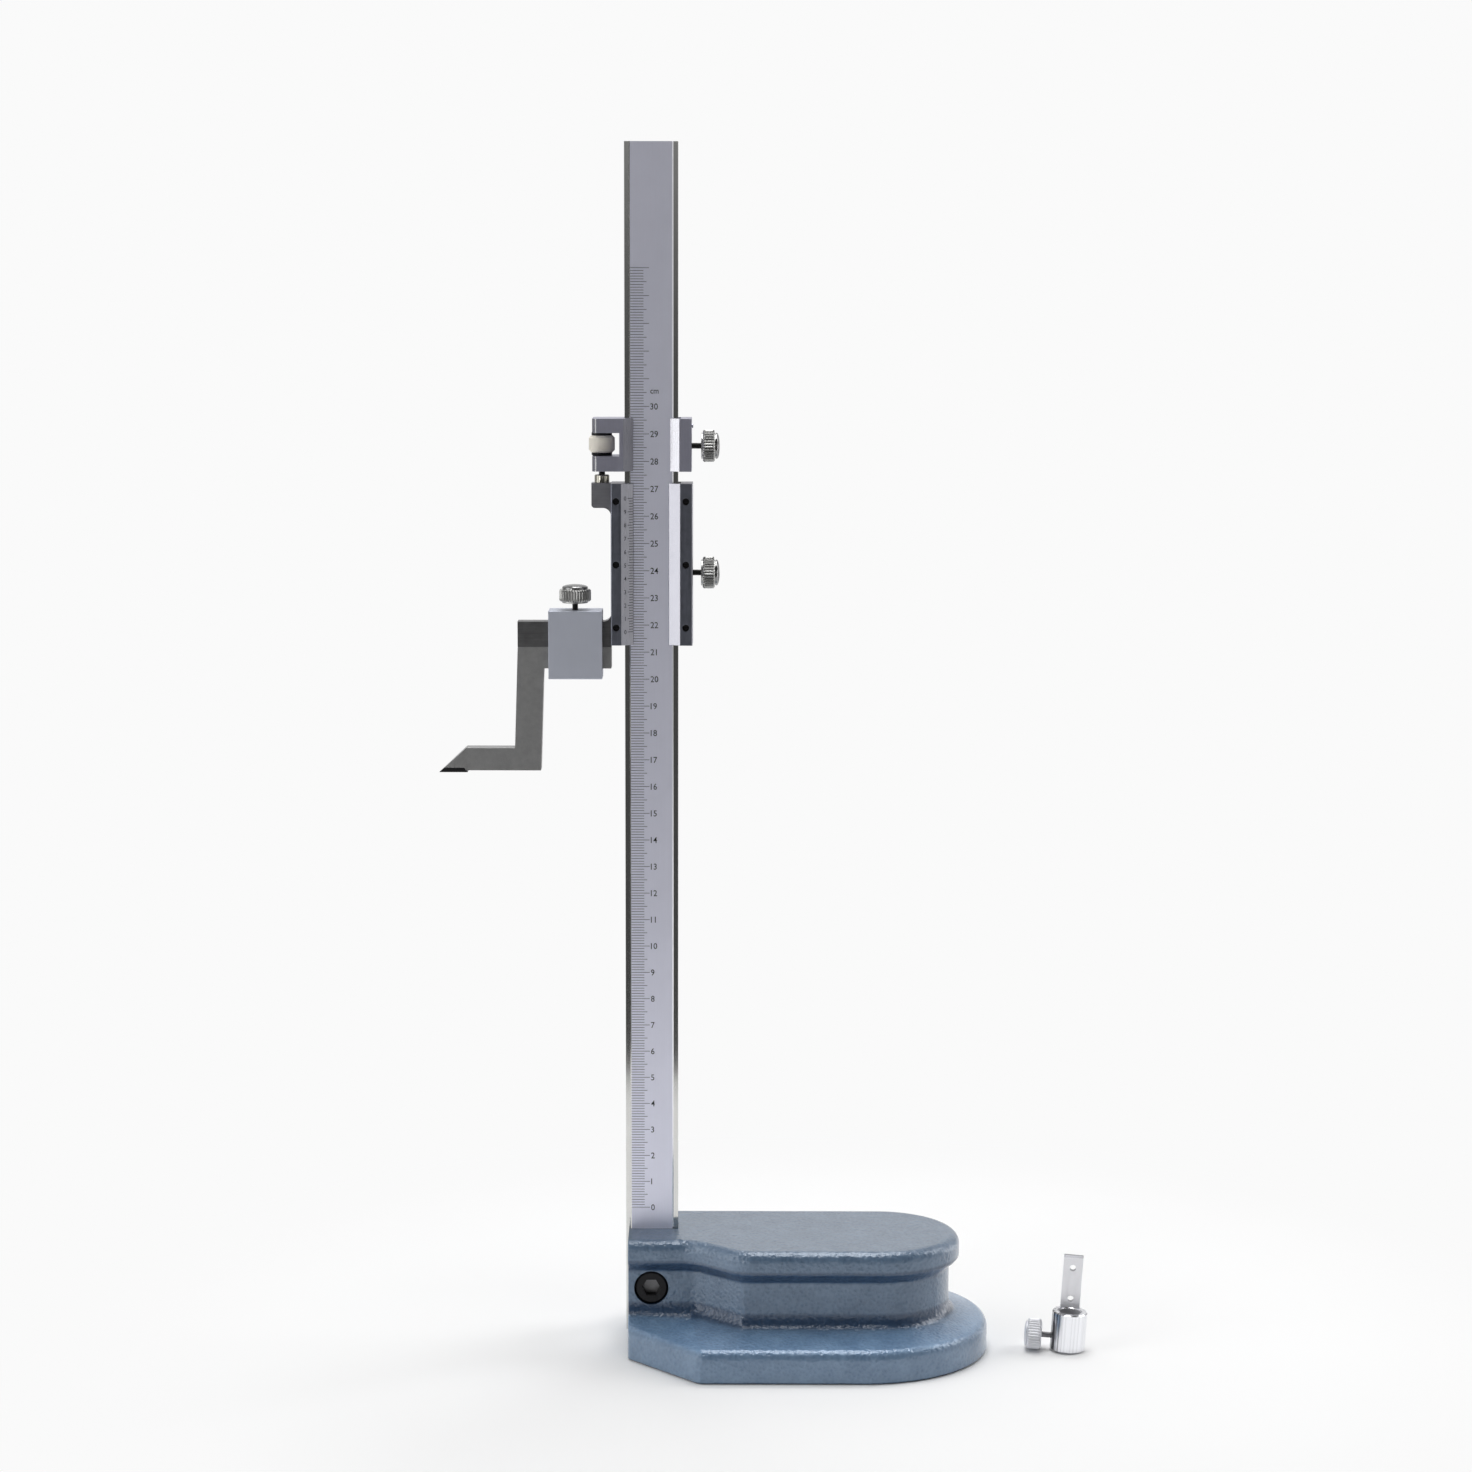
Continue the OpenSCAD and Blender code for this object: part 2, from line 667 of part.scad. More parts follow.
module vernier_plate() {
    color("#8c8f94")
    difference() {
        translate([0, 0, slider_low]) linear_extrude(slider_h) polygon([
            [slider_left, channel_front],
            [slider_left, slider_front + plate_chamfer],
            [slider_left + plate_chamfer, slider_front],
            [slider_left + vernier_strip_w, slider_front],
            [-beam_hw + vernier_lap, channel_front - lip_t],
            [-beam_hw + vernier_lap, channel_front],
        ]);
        plate_holes(vernier_screw_x);
    }
}

module guide_plate() {
    color("#dcdce4")
    difference() {
        translate([0, 0, slider_low]) linear_extrude(slider_h) polygon([
            [slider_right, channel_front],
            [slider_right, slider_front + plate_chamfer],
            [slider_right - plate_chamfer, slider_front],
            [slider_right - guide_strip_w, slider_front],
            [beam_hw - guide_lap, channel_front - lip_t],
            [beam_hw - guide_lap, channel_front],
        ]);
        plate_holes(guide_screw_x);
    }
}

// A small slotted screw whose head sits on the floor of its hole, pointing along Y
module plate_screw() {
    rotate([-90, 0, 0]) difference() {
        union() {
            translate([0, 0, -plate_head_h]) cylinder(d = plate_head_d, h = plate_head_h);
            cylinder(d = plate_screw_d, h = plate_t - plate_head_sink - plate_head_h + plate_shank_len);
        }
        translate([-plate_head_d, -plate_slot_w / 2, -plate_head_h - cut])
            cube([2 * plate_head_d, plate_slot_w, cut + plate_slot_depth]);
    }
}

module plate_screws() {
    color("#17171a")
    for (x = [vernier_screw_x, guide_screw_x], z = plate_screw_rows)
        translate([x, slider_front + plate_head_sink + plate_head_h, z]) plate_screw();
}

// A gib strip beside the beam's right edge, between two heights
module gib(low, height) {
    translate([gib_left, -gib_w / 2, low + gib_end]) cube([gib_t, gib_w, height - 2 * gib_end]);
}

module slider_gib() {
    color("#b08d4a") gib(slider_low, slider_h);
}

module carriage_gib() {
    color("#b08d4a") gib(carriage_low, carriage_h);
}

// The corner of a plan view, rounded about a centre from one angle to another
function corner(x, y, r, from, to) =
    [for (k = [0:round_points]) let (a = from + (to - from) * k / round_points)
        [x + r * cos(a), y + r * sin(a)]];

module carriage() {
    round_x = carriage_left + yoke_round;
    color("#83838f")
    difference() {
        translate([0, 0, carriage_low]) linear_extrude(carriage_h) polygon(concat([
            [-beam_hw + carriage_lap_left - carriage_bevel_w, carriage_front],
            [-beam_hw + carriage_lap_left, channel_front - lip_t],
            [-beam_hw + carriage_lap_left, channel_front],
            [channel_left, channel_front],
            [channel_left, channel_back],
            [channel_right, channel_back],
            [channel_right, channel_front],
            [beam_hw - carriage_lap_right, channel_front],
            [beam_hw - carriage_lap_right, channel_front - lip_t],
            [beam_hw - carriage_lap_right + carriage_bevel_w, carriage_front],
            [carriage_right, carriage_front],
            [carriage_right, carriage_back - edge_break],
            [carriage_right - edge_break, carriage_back],
        ], corner(round_x, carriage_back - yoke_round, yoke_round, 90, 180),
            corner(round_x, carriage_front + yoke_round, yoke_round, 180, 270)));
        // Window for the nut, open to the left, front and back
        translate([carriage_left - cut, carriage_front - cut, window_low])
            cube([window_len + cut, carriage_back - carriage_front + 2 * cut, window_h]);
        // Passage of the feed screw, drilled from below
        translate([feed_x, 0, carriage_low - cut])
            cylinder(d = feed_screw_d + 2 * feed_gap, h = cut + window_up + window_h + yoke_bore_over);
        // Tapped hole of the lock screw and hole of the gib pin
        translate([channel_right - cut, 0, carriage_low + carriage_lock_up]) rotate([0, 90, 0])
            cylinder(d = thumb_stem_d + 2 * thread_gap, h = carriage_wall_right + 2 * cut);
        translate([channel_right - cut, 0, carriage_low + gib_pin_up]) rotate([0, 90, 0])
            cylinder(d = gib_pin_d + 2 * thread_gap, h = carriage_wall_right + 2 * cut);
    }
}

module carriage_gib_pin() {
    color("#83838f")
    translate([gib_left + gib_t + gib_gap / 2, 0, carriage_low + gib_pin_up]) rotate([0, 90, 0])
        cylinder(d = gib_pin_d, h = gib_gap / 2 + carriage_wall_right + gib_pin_head);
}

module feed_screw() {
    low = slider_top - feed_tail;
    color("#8d8d88")
    translate([feed_x, 0, low]) cylinder(d = feed_screw_d, h = window_top + feed_over - low);
}

module feed_screw_collar() {
    color("#a5a398")
    translate([feed_x, 0, slider_top]) rotate_extrude() polygon([
        [feed_screw_d / 2 + thread_gap, 0],
        [collar_d / 2, 0],
        [collar_d / 2, collar_h - collar_chamfer],
        [collar_d / 2 - collar_chamfer, collar_h],
        [feed_screw_d / 2 + thread_gap, collar_h],
    ]);
}

module fine_feed_nut() {
    hub_h = (window_h - nut_rim_h) / 2 - nut_gap;
    color("#c9c4b4")
    translate([feed_x, 0, window_low + nut_gap]) rotate_extrude() polygon([
        [feed_screw_d / 2 + thread_gap, 0],
        [nut_hub_d / 2, 0],
        [nut_hub_d / 2, hub_h],
        [nut_d / 2 - nut_chamfer, hub_h],
        [nut_d / 2, hub_h + nut_chamfer],
        [nut_d / 2, hub_h + nut_rim_h - nut_chamfer],
        [nut_d / 2 - nut_chamfer, hub_h + nut_rim_h],
        [nut_hub_d / 2, hub_h + nut_rim_h],
        [nut_hub_d / 2, 2 * hub_h + nut_rim_h],
        [feed_screw_d / 2 + thread_gap, 2 * hub_h + nut_rim_h],
    ]);
}

// A thumb screw along Z: its thread reaches down from the origin, its head stands above it
module thumb_screw(reach, free, d = grip_d, h = grip_h, collar = grip_collar_h, dome = dome_h) {
    low = free + collar;
    top = low + h;
    dome_low = top + groove_h;
    bulge_low = dome_low + (dome - groove_h) * dome_wall_share;
    groove_r = dome_d / 2 - groove_depth;
    // Thread, collar, groove and domed cap
    rotate_extrude() polygon(concat(
        [[0, -reach], [thumb_stem_d / 2, -reach], [thumb_stem_d / 2, free]],
        [[grip_collar_d / 2, free], [grip_collar_d / 2, low + edge_break]],
        [[groove_r, top - edge_break], [groove_r, dome_low], [dome_d / 2, dome_low]],
        [for (k = [0:dome_steps - 1]) let (a = 90 * k / dome_steps)
            [dome_d / 2 * cos(a), bulge_low + (top + dome - bulge_low) * sin(a)]],
        [[0, top + dome]]
    ));
    // Fluted grip, chamfered at both ends
    intersection() {
        translate([0, 0, low]) linear_extrude(h) polygon([
            for (i = [0:2 * grip_flutes - 1]) let (a = 180 * i / grip_flutes)
                (d / 2 - (i % 2) * flute_depth) * [cos(a), sin(a)]
        ]);
        rotate_extrude() polygon([
            [0, low],
            [d / 2 - grip_chamfer, low],
            [d / 2 + flute_depth, low + grip_chamfer + flute_depth],
            [d / 2 + flute_depth, top - grip_chamfer - flute_depth],
            [d / 2 - grip_chamfer, top],
            [0, top],
        ]);
    }
}

// A lock screw in a right-hand wall: its tip rests on the gib
module side_lock(wall_right, z, wall) {
    reach = wall + gib_gap / 2;
    color("#a3a29d")
    translate([wall_right, 0, z]) rotate([0, 90, 0]) thumb_screw(reach, side_stem_len - reach);
}

module carriage_lock_screw() {
    side_lock(carriage_right, carriage_low + carriage_lock_up, carriage_wall_right);
}

module slider_lock_screw() {
    side_lock(slider_right, slider_lock_z, slider_wall_right);
}

module clamp_box() {
    inner_hy = arm_t / 2 + clamp_gap;
    outer_hy = inner_hy + box_side_wall;
    color("#85858f")
    difference() {
        translate([box_left, 0, 0]) rotate([90, 0, 90]) linear_extrude(box_w) difference() {
            polygon([
                [-outer_hy + box_chamfer, box_low],
                [outer_hy - box_chamfer, box_low],
                [outer_hy, box_low + box_chamfer],
                [outer_hy, box_top - box_chamfer],
                [outer_hy - box_chamfer, box_top],
                [-outer_hy + box_chamfer, box_top],
                [-outer_hy, box_top - box_chamfer],
                [-outer_hy, box_low + box_chamfer],
            ]);
            translate([-inner_hy, box_low + box_low_wall])
                square([2 * inner_hy, box_h - box_low_wall - box_top_wall]);
        }
        translate([box_screw_x, 0, box_top - box_top_wall - cut])
            cylinder(d = thumb_stem_d + 2 * thread_gap, h = box_top_wall + 2 * cut);
    }
}

module clamp_box_screw() {
    color("#8f8f8a")
    translate([box_screw_x, 0, box_top]) thumb_screw(box_top - arm_top - clamp_gap, box_stem_free);
}

// Places along the scriber's side view
foot_top = tip_low + foot_h;
limb_left = arm_left - limb_lean;
point_x = limb_left - foot_top_len - point_run;
tip_top = tip_low + tip_t;
slant_x = point_x + point_run * tip_t / foot_h;
tip_end = point_x + tip_len;
step_x = tip_end - tip_end_run * tip_step / tip_t;

// The bevel that narrows the back of the point, seen from above
module point_bevel_cut() {
    bevel_run = (arm_t - point_land) / tan(point_bevel);
    translate([0, 0, tip_low - cut]) linear_extrude(foot_h + 2 * cut) polygon([
        [point_x - cut, -arm_t / 2 + point_land],
        [point_x, -arm_t / 2 + point_land],
        [point_x + bevel_run, arm_t / 2],
        [point_x + bevel_run, arm_t / 2 + cut],
        [point_x - cut, arm_t / 2 + cut],
    ]);
}

module scriber() {
    color("#63635f")
    difference() {
        translate([0, arm_t / 2, 0]) rotate([90, 0, 0]) linear_extrude(arm_t) polygon([
            [slider_left, shank_low],
            [slider_left, shank_top],
            [arm_left, shank_top],
            [limb_left, foot_top],
            [limb_left - foot_top_len, foot_top],
            [slant_x, tip_top],
            [tip_end - tip_end_run, tip_top],
            [step_x, tip_low + tip_step],
            [limb_left + limb_w, tip_low + tip_step],
            [arm_left + limb_w, shank_low],
        ]);
        point_bevel_cut();
    }
}

module carbide_tip() {
    color("#3c3c3e")
    difference() {
        translate([0, arm_t / 2, 0]) rotate([90, 0, 0]) linear_extrude(arm_t) polygon([
            [point_x, tip_low],
            [tip_end, tip_low],
            [tip_end - tip_end_run, tip_top],
            [slant_x, tip_top],
        ]);
        point_bevel_cut();
    }
}

// Stands a child on the ground, leaning to the right on the rim of its foot
module leaning() {
    translate([holder_right, -holder_front, sleeve_foot_r * sin(holder_lean)])
        rotate([0, 0, -holder_turn]) rotate([0, holder_lean, 0]) children();
}

module holder_sleeve() {
    r = sleeve_d / 2;
    bore = sleeve_bore_d / 2;
    color("#d6d7da")
    leaning() difference() {
        rotate_extrude() polygon([
            [bore + bore_chamfer, 0],
            [r - sleeve_chamfer, 0],
            [r, sleeve_chamfer],
            [r, sleeve_h - sleeve_chamfer],
            [r - sleeve_chamfer, sleeve_h],
            [bore + bore_chamfer, sleeve_h],
            [bore, sleeve_h - bore_chamfer],
            [bore, bore_chamfer],
        ]);
        // Channel for the blade in the back of the sleeve
        translate([-blade_w / 2 - clamp_gap, blade_front, blade_foot])
            cube([blade_w + 2 * clamp_gap, r, sleeve_h]);
        // Tapped hole of the thumb screw
        translate([0, 0, holder_screw_up]) rotate([0, -90, 0])
            cylinder(d = thumb_stem_d + 2 * thread_gap, h = r + cut);
    }
}

module holder_blade() {
    color("#d2d3d6")
    leaning() translate([0, blade_front, 0]) difference() {
        translate([-blade_w / 2, 0, 0]) rotate([90, 0, 90]) linear_extrude(blade_w) polygon([
            [0, blade_foot],
            [blade_t, blade_foot],
            [blade_t, blade_top],
            [blade_chamfer, blade_top],
            [0, blade_top - blade_chamfer],
        ]);
        for (z = [blade_hole_low, blade_hole_low + blade_hole_pitch])
            translate([0, -cut, z]) rotate([-90, 0, 0]) cylinder(d = blade_hole_d, h = blade_t + 2 * cut);
    }
}

module holder_screw() {
    color("#b9b9bd")
    leaning() translate([-sleeve_d / 2, 0, holder_screw_up]) rotate([0, -90, 0])
        thumb_screw((sleeve_d - sleeve_bore_d) / 2, holder_stem_free,
            holder_grip_d, holder_grip_h, holder_collar_h, holder_dome_h);
}

base();
base_cap_screw();
beam();
slider_frame();
vernier_plate();
guide_plate();
plate_screws();
slider_gib();
feed_screw();
feed_screw_collar();
fine_feed_nut();
carriage();
carriage_gib();
carriage_gib_pin();
carriage_lock_screw();
slider_lock_screw();
clamp_box();
clamp_box_screw();
scriber();
carbide_tip();
holder_sleeve();
holder_blade();
holder_screw();
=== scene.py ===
"""Looks for a vernier height gauge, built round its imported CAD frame.

Sizes are written in millimetres and turned into metres where a mesh is made. X runs to the
right, Y away from the viewer and Z up, with the origin on the ground under the beam.
"""

import abc
import enum
import json
import logging
import math
from dataclasses import dataclass
from typing import Any, Callable, Iterable, Optional, Sequence

import bmesh
import bpy
import numpy as np
from mathutils import Euler, Matrix, Quaternion, Vector

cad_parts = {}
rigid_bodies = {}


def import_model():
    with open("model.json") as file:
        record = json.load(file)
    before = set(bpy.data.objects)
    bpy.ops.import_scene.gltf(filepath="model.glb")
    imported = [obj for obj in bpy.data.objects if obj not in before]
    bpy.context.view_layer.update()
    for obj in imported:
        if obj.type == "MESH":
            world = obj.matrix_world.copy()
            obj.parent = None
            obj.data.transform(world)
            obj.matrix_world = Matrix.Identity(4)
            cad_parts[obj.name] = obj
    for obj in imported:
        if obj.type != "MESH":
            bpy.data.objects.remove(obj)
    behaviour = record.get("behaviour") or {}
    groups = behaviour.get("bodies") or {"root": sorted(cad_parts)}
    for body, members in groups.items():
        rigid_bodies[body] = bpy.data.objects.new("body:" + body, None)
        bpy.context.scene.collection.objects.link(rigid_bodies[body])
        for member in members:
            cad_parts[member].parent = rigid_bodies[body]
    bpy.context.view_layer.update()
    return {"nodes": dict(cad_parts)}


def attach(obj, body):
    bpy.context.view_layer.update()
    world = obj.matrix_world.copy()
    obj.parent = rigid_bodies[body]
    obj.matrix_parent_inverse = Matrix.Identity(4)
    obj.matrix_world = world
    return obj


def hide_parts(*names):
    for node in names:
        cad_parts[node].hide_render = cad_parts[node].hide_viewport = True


for leftover in list(bpy.data.objects):
    bpy.data.objects.remove(leftover)
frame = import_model()

LOG = logging.getLogger("height_gauge")
MM = 0.001
# A point note that sets the painted shade in a knurl's valleys.
VALLEY = "valley"
PAGE_WHITE = 0.956
WELD_M = 1e-7
# Parts of a face's normal that say that it faces a direction, or leans towards it.
FACING = 0.7
LEANING = 0.3


# ---------------------------------------------------------------- meshes


def placed(points: np.ndarray, matrix: Matrix) -> np.ndarray:
    """Moves points by a matrix.

    Args:
        points: The points, one row each.
        matrix: The matrix.

    Returns:
        The moved points.
    """
    m = np.array(matrix, float)
    return points @ m[:3, :3].T + m[:3, 3]


def turned(place: Sequence[float], degrees: float, axis: str) -> Matrix:
    """A matrix that turns a piece about an axis and then moves it.

    Args:
        place: Where the piece's origin goes.
        degrees: The turn.
        axis: Name of the axis.

    Returns:
        The matrix.
    """
    return Matrix.Translation(place) @ Matrix.Rotation(math.radians(degrees), 4, axis)


def rows_of(items: Any, key: str) -> np.ndarray:
    """Reads a vector of every point or face of a mesh.

    Args:
        items: The mesh's points or faces.
        key: Name of the vector.

    Returns:
        One row for each.
    """
    flat = np.zeros(len(items) * 3)
    items.foreach_get(key, flat)
    return flat.reshape(-1, 3)


def linked(name: str, data: Any) -> bpy.types.Object:
    """Makes an object of a mesh, curve, light or camera and links it to the scene.

    Args:
        name: The object's name.
        data: What it shows.

    Returns:
        The new object.
    """
    made = bpy.data.objects.new(name, data)
    bpy.context.scene.collection.objects.link(made)
    return made


def baked(piece: bpy.types.Object) -> bpy.types.Mesh:
    """The mesh of an object with its modifiers applied, or of its text.

    Args:
        piece: The object.

    Returns:
        A new mesh.
    """
    bpy.context.view_layer.update()
    return bpy.data.meshes.new_from_object(piece.evaluated_get(bpy.context.evaluated_depsgraph_get()))


def clean(mesh: bpy.types.Mesh, smooth_below: float, face_out: bool = False) -> None:
    """Welds double points, and shades all faces smooth except across sharp edges.

    Args:
        mesh: The mesh.
        smooth_below: Edges that bend less than this many degrees are shaded smooth.
        face_out: Whether all faces are also turned to point outward.
    """
    work = bmesh.new()
    work.from_mesh(mesh)
    bmesh.ops.remove_doubles(work, verts=work.verts, dist=WELD_M)
    if face_out:
        bmesh.ops.recalc_face_normals(work, faces=work.faces)
    limit = math.radians(smooth_below)
    for face in work.faces:
        face.smooth = True
    for edge in work.edges:
        edge.smooth = len(edge.link_faces) == 2 and edge.calc_face_angle(0.0) < limit
    work.to_mesh(mesh)
    work.free()


def make_object(name: str, points: np.ndarray, faces: Sequence[Sequence[int]], material: bpy.types.Material,
                matrix: Optional[Matrix] = None, smooth_below: float = 35.0) -> bpy.types.Object:
    """Makes a mesh object at the origin from points in millimetres.

    Args:
        name: The object's name.
        points: Array of points, one row each, in millimetres.
        faces: Corner indices of each face.
        material: The finish of the whole piece.
        matrix: Where the piece goes, in millimetres; it is applied to the mesh.
        smooth_below: Edges that bend less than this many degrees are shaded smooth.

    Returns:
        The new object.
    """
    points = np.asarray(points, float).reshape(-1, 3)
    if matrix is not None:
        points = placed(points, matrix)
    mesh = bpy.data.meshes.new(name)
    mesh.from_pydata((points * MM).tolist(), [], [list(map(int, f)) for f in faces])
    clean(mesh, smooth_below, face_out=True)
    mesh.materials.append(material)
    return linked(name, mesh)


def grid_quads(rows: int, columns: int) -> np.ndarray:
    """Corner indices of the quads between stacked rings of points.

    A quad joins point (i, j) to (i, j+1), (i+1, j+1) and (i+1, j), where j wraps round.

    Args:
        rows: Number of rings.
        columns: Number of points in a ring.

    Returns:
        An array of quads, four indices each.
    """
    i, j = np.meshgrid(np.arange(rows - 1), np.arange(columns), indexing="ij")
    k = (j + 1) % columns
    corners = [i * columns + j, i * columns + k, (i + 1) * columns + k, (i + 1) * columns + j]
    return np.stack(corners, -1).reshape(-1, 4)


def closed_skin(rows: int, columns: int) -> list[list[int]]:
    """Faces of a skin of stacked rings with one face over each end.

    Args:
        rows: Number of rings.
        columns: Number of points in a ring.

    Returns:
        Corner indices of each face.
    """
    ends = [list(range(columns))[::-1], list(range((rows - 1) * columns, rows * columns))]
    return grid_quads(rows, columns).tolist() + ends


def revolve(profile: np.ndarray, steps: int, dents: Optional[np.ndarray] = None) -> tuple[np.ndarray, np.ndarray]:
    """A surface of revolution about Z.

    Point (i, j) lies at radius r_i minus dent_ij, at angle 2*pi*j/steps and at height z_i.

    Args:
        profile: Radius and height of each row.
        steps: Number of points round the axis.
        dents: How far each point is pressed in, rows by steps.

    Returns:
        The points and the quads.
    """
    angle = np.arange(steps) * 2 * np.pi / steps
    radius = np.repeat(profile[:, :1], steps, 1)
    if dents is not None:
        radius = np.maximum(radius - dents, 0)
    height = np.repeat(profile[:, 1:], steps, 1)
    points = np.stack([radius * np.cos(angle), radius * np.sin(angle), height], -1)
    return points.reshape(-1, 3), grid_quads(len(profile), steps)


def drum(radius: float, low: float, high: float, steps: int) -> tuple[np.ndarray, np.ndarray]:
    """A closed cylinder about Z.

    Args:
        radius: Its radius.
        low: Height of its lower end.
        high: Height of its upper end.
        steps: Number of points round the axis.

    Returns:
        The points and the quads.
    """
    return revolve(np.array([(0, low), (radius, low), (radius, high), (0, high)]), steps)


def threaded(radius: float, low: float, high: float, pitch: float, depth: float,
             around: int = 24, per_turn: int = 6) -> tuple[np.ndarray, np.ndarray]:
    """A rod along Z with a right-hand thread, closed at both ends.

    The radius falls from the crest by the thread's depth times a triangle wave of the height
    over the pitch less the angle over a full turn.

    Args:
        radius: Radius of the crests.
        low: Height of the lower end.
        high: Height of the upper end.
        pitch: Distance between crests.
        depth: Depth of the thread.
        around: Points round the axis.
        per_turn: Rows for each turn.

    Returns:
        The points and the quads.
    """
    rows = max(4, int(round((high - low) / pitch * per_turn)))
    height = np.linspace(low, high, rows)
    theta = np.arange(around) * 2 * np.pi / around
    phase = (height[:, None] / pitch - theta[None, :] / (2 * np.pi)) % 1.0
    smooth_end = np.zeros((1, around))
    profile = np.concatenate([[[0.0, low]], np.column_stack([np.full(rows, radius), height]), [[0.0, high]]])
    return revolve(profile, around, np.concatenate([smooth_end, depth * np.abs(2 * phase - 1), smooth_end]))


def lengthen(profile: Sequence[tuple[float, float]], longest: float) -> np.ndarray:
    """Adds points to a profile so that no step is longer than a given length.

    Args:
        profile: Radius and height of each corner.
        longest: The longest step.

    Returns:
        The finer profile.
    """
    corners = np.array(profile, float)
    parts = [corners[:1]]
    for a, b in zip(corners[:-1], corners[1:]):
        steps = max(1, math.ceil(float(np.linalg.norm(b - a)) / longest))
        share = np.arange(1, steps + 1)[:, None] / steps
        parts.append(a + (b - a) * share)
    return np.concatenate(parts)


def boxes(low: np.ndarray, high: np.ndarray) -> tuple[np.ndarray, np.ndarray]:
    """Many boxes at once, each from its low corner to its high corner.

    Args:
        low: Low corners, one row each.
        high: High corners, one row each.

    Returns:
        The points and the quads.
    """
    pick = np.array([[0, 0, 0], [1, 0, 0], [1, 1, 0], [0, 1, 0], [0, 0, 1], [1, 0, 1], [1, 1, 1], [0, 1, 1]])
    points = low[:, None, :] + (high - low)[:, None, :] * pick
    quads = np.array([[3, 2, 1, 0], [4, 5, 6, 7], [0, 1, 5, 4], [1, 2, 6, 5], [2, 3, 7, 6], [3, 0, 4, 7]])
    return points.reshape(-1, 3), (quads[None] + np.arange(len(low))[:, None, None] * 8).reshape(-1, 4)


def carved(body: bpy.types.Object, cutters: Iterable[bpy.types.Object], smooth_below: float) -> None:
    """Cuts solids out of an object and keeps the result as its mesh.

    Args:
        body: The object that is cut.
        cutters: Closed solids; they are removed afterwards.
        smooth_below: Edges that bend less than this many degrees are shaded smooth.
    """
    for cutter in cutters:
        step = body.modifiers.new("cut", "BOOLEAN")
        step.operation = "DIFFERENCE"
        step.solver = "EXACT"
        step.object = cutter
        result = baked(body)
        body.modifiers.clear()
        body.data = result
        bpy.data.objects.remove(cutter)
    clean(body.data, smooth_below)


def weigh_normals(piece: bpy.types.Object) -> None:
    """Shades the large faces of a piece flat up to their roundings.

    Args:
        piece: The object.
    """
    piece.modifiers.new("flat_faces", "WEIGHTED_NORMAL").keep_sharp = True


def ease_edges(piece: bpy.types.Object, width: float) -> None:
    """Breaks the sharp edges of a machined piece, as a stone or a file does.

    Args:
        piece: The object; its mesh stays as it is and the modifiers do the work.
        width: Width of the broken edge in millimetres.
    """
    piece.modifiers.new("weld", "WELD").merge_threshold = 10 * WELD_M
    bevel = piece.modifiers.new("broken_edges", "BEVEL")
    bevel.width = width * MM
    bevel.segments = 2
    bevel.limit_method = "ANGLE"
    bevel.angle_limit = math.radians(30)
    weigh_normals(piece)


def mark_faces(piece: bpy.types.Object, index: int, wanted: Callable[[np.ndarray, np.ndarray], np.ndarray],
               place: Optional[Matrix] = None) -> None:
    """Gives some faces of a piece another of its materials, by where they are and point.

    Args:
        piece: The object.
        index: Number of the material.
        wanted: Takes the faces' middles in millimetres and their normals, and says which.
        place: The piece's own frame; with it the middles are told in that frame.
    """
    polygons = piece.data.polygons
    centre = rows_of(polygons, "center") / MM
    if place is not None:
        centre = placed(centre, place.inverted())
    chosen = np.zeros(len(polygons), int)
    polygons.foreach_get("material_index", chosen)
    chosen[wanted(centre, rows_of(polygons, "normal"))] = index
    polygons.foreach_set("material_index", chosen)
    piece.data.update()


def mark_bevels(piece: bpy.types.Object, right: int) -> None:
    """Gives the ground bevels at the front of a piece finishes of their own.

    Args:
        piece: The object.
        right: Number of the material of the bevels that point to the right; the next one is
            for those that point to the left.
    """
    mark_faces(piece, right, lambda centre, normal: (normal[:, 1] < -FACING) & (normal[:, 0] > LEANING))
    mark_faces(piece, right + 1, lambda centre, normal: (
        normal[:, 1] < -FACING) & (normal[:, 0] < -LEANING) & (centre[:, 0] > 0))


def mark_valleys(piece: bpy.types.Object, place: Matrix, deep: float, crest: float, low: float,
                 high: float) -> None:
    """Notes on each point how deep in a knurl it lies, for painted shade in the valleys.

    The note is how far the point's distance from the axis falls from crest to valley, as a share.

    Args:
        piece: The object.
        place: The matrix that was applied to the mesh, in millimetres.
        deep: Radius of the valleys.
        crest: Radius of the crests.
        low: Lower end of the knurl along the axis.
        high: Its upper end.
    """
    local = placed(rows_of(piece.data.vertices, "co") / MM, place.inverted())
    share = np.clip((crest - np.hypot(local[:, 0], local[:, 1])) / (crest - deep), 0, 1)
    share[(local[:, 2] < low) | (local[:, 2] > high)] = 0.0
    note = piece.data.attributes.new(VALLEY, "FLOAT", "POINT")
    note.data.foreach_set("value", share.astype(np.float32))


def dress(nodes: dict[str, bpy.types.Object], name: str, *materials: bpy.types.Material,
          ease: float = 0.0) -> bpy.types.Object:
    """Gives a CAD node its finishes and breaks its sharp edges.

    Args:
        nodes: CAD nodes by name.
        name: The node's name.
        materials: Its finish, and more that some of its faces get later.
        ease: Width of the broken edges in millimetres, or zero to leave them.

    Returns:
        The node's object.
    """
    node = nodes[name]
    node.data.materials.clear()
    for material in materials:
        node.data.materials.append(material)
    if ease:
        ease_edges(node, ease)
    LOG.info("%s: %s", name, materials[0].name)
    return node


def stand_in(piece: bpy.types.Object, body: str, node: Optional[str] = None) -> None:
    """Puts a new piece on its body, and lets it stand for a CAD node.

    Args:
        piece: The new piece.
        body: The CAD body that it rides on.
        node: The CAD node that it replaces, which is hidden.
    """
    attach(piece, body)
    if node:
        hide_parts(node)
    LOG.info("%s rides on %s%s", piece.name, body, f" and stands for {node}" if node else "")


# ---------------------------------------------------------------- finishes


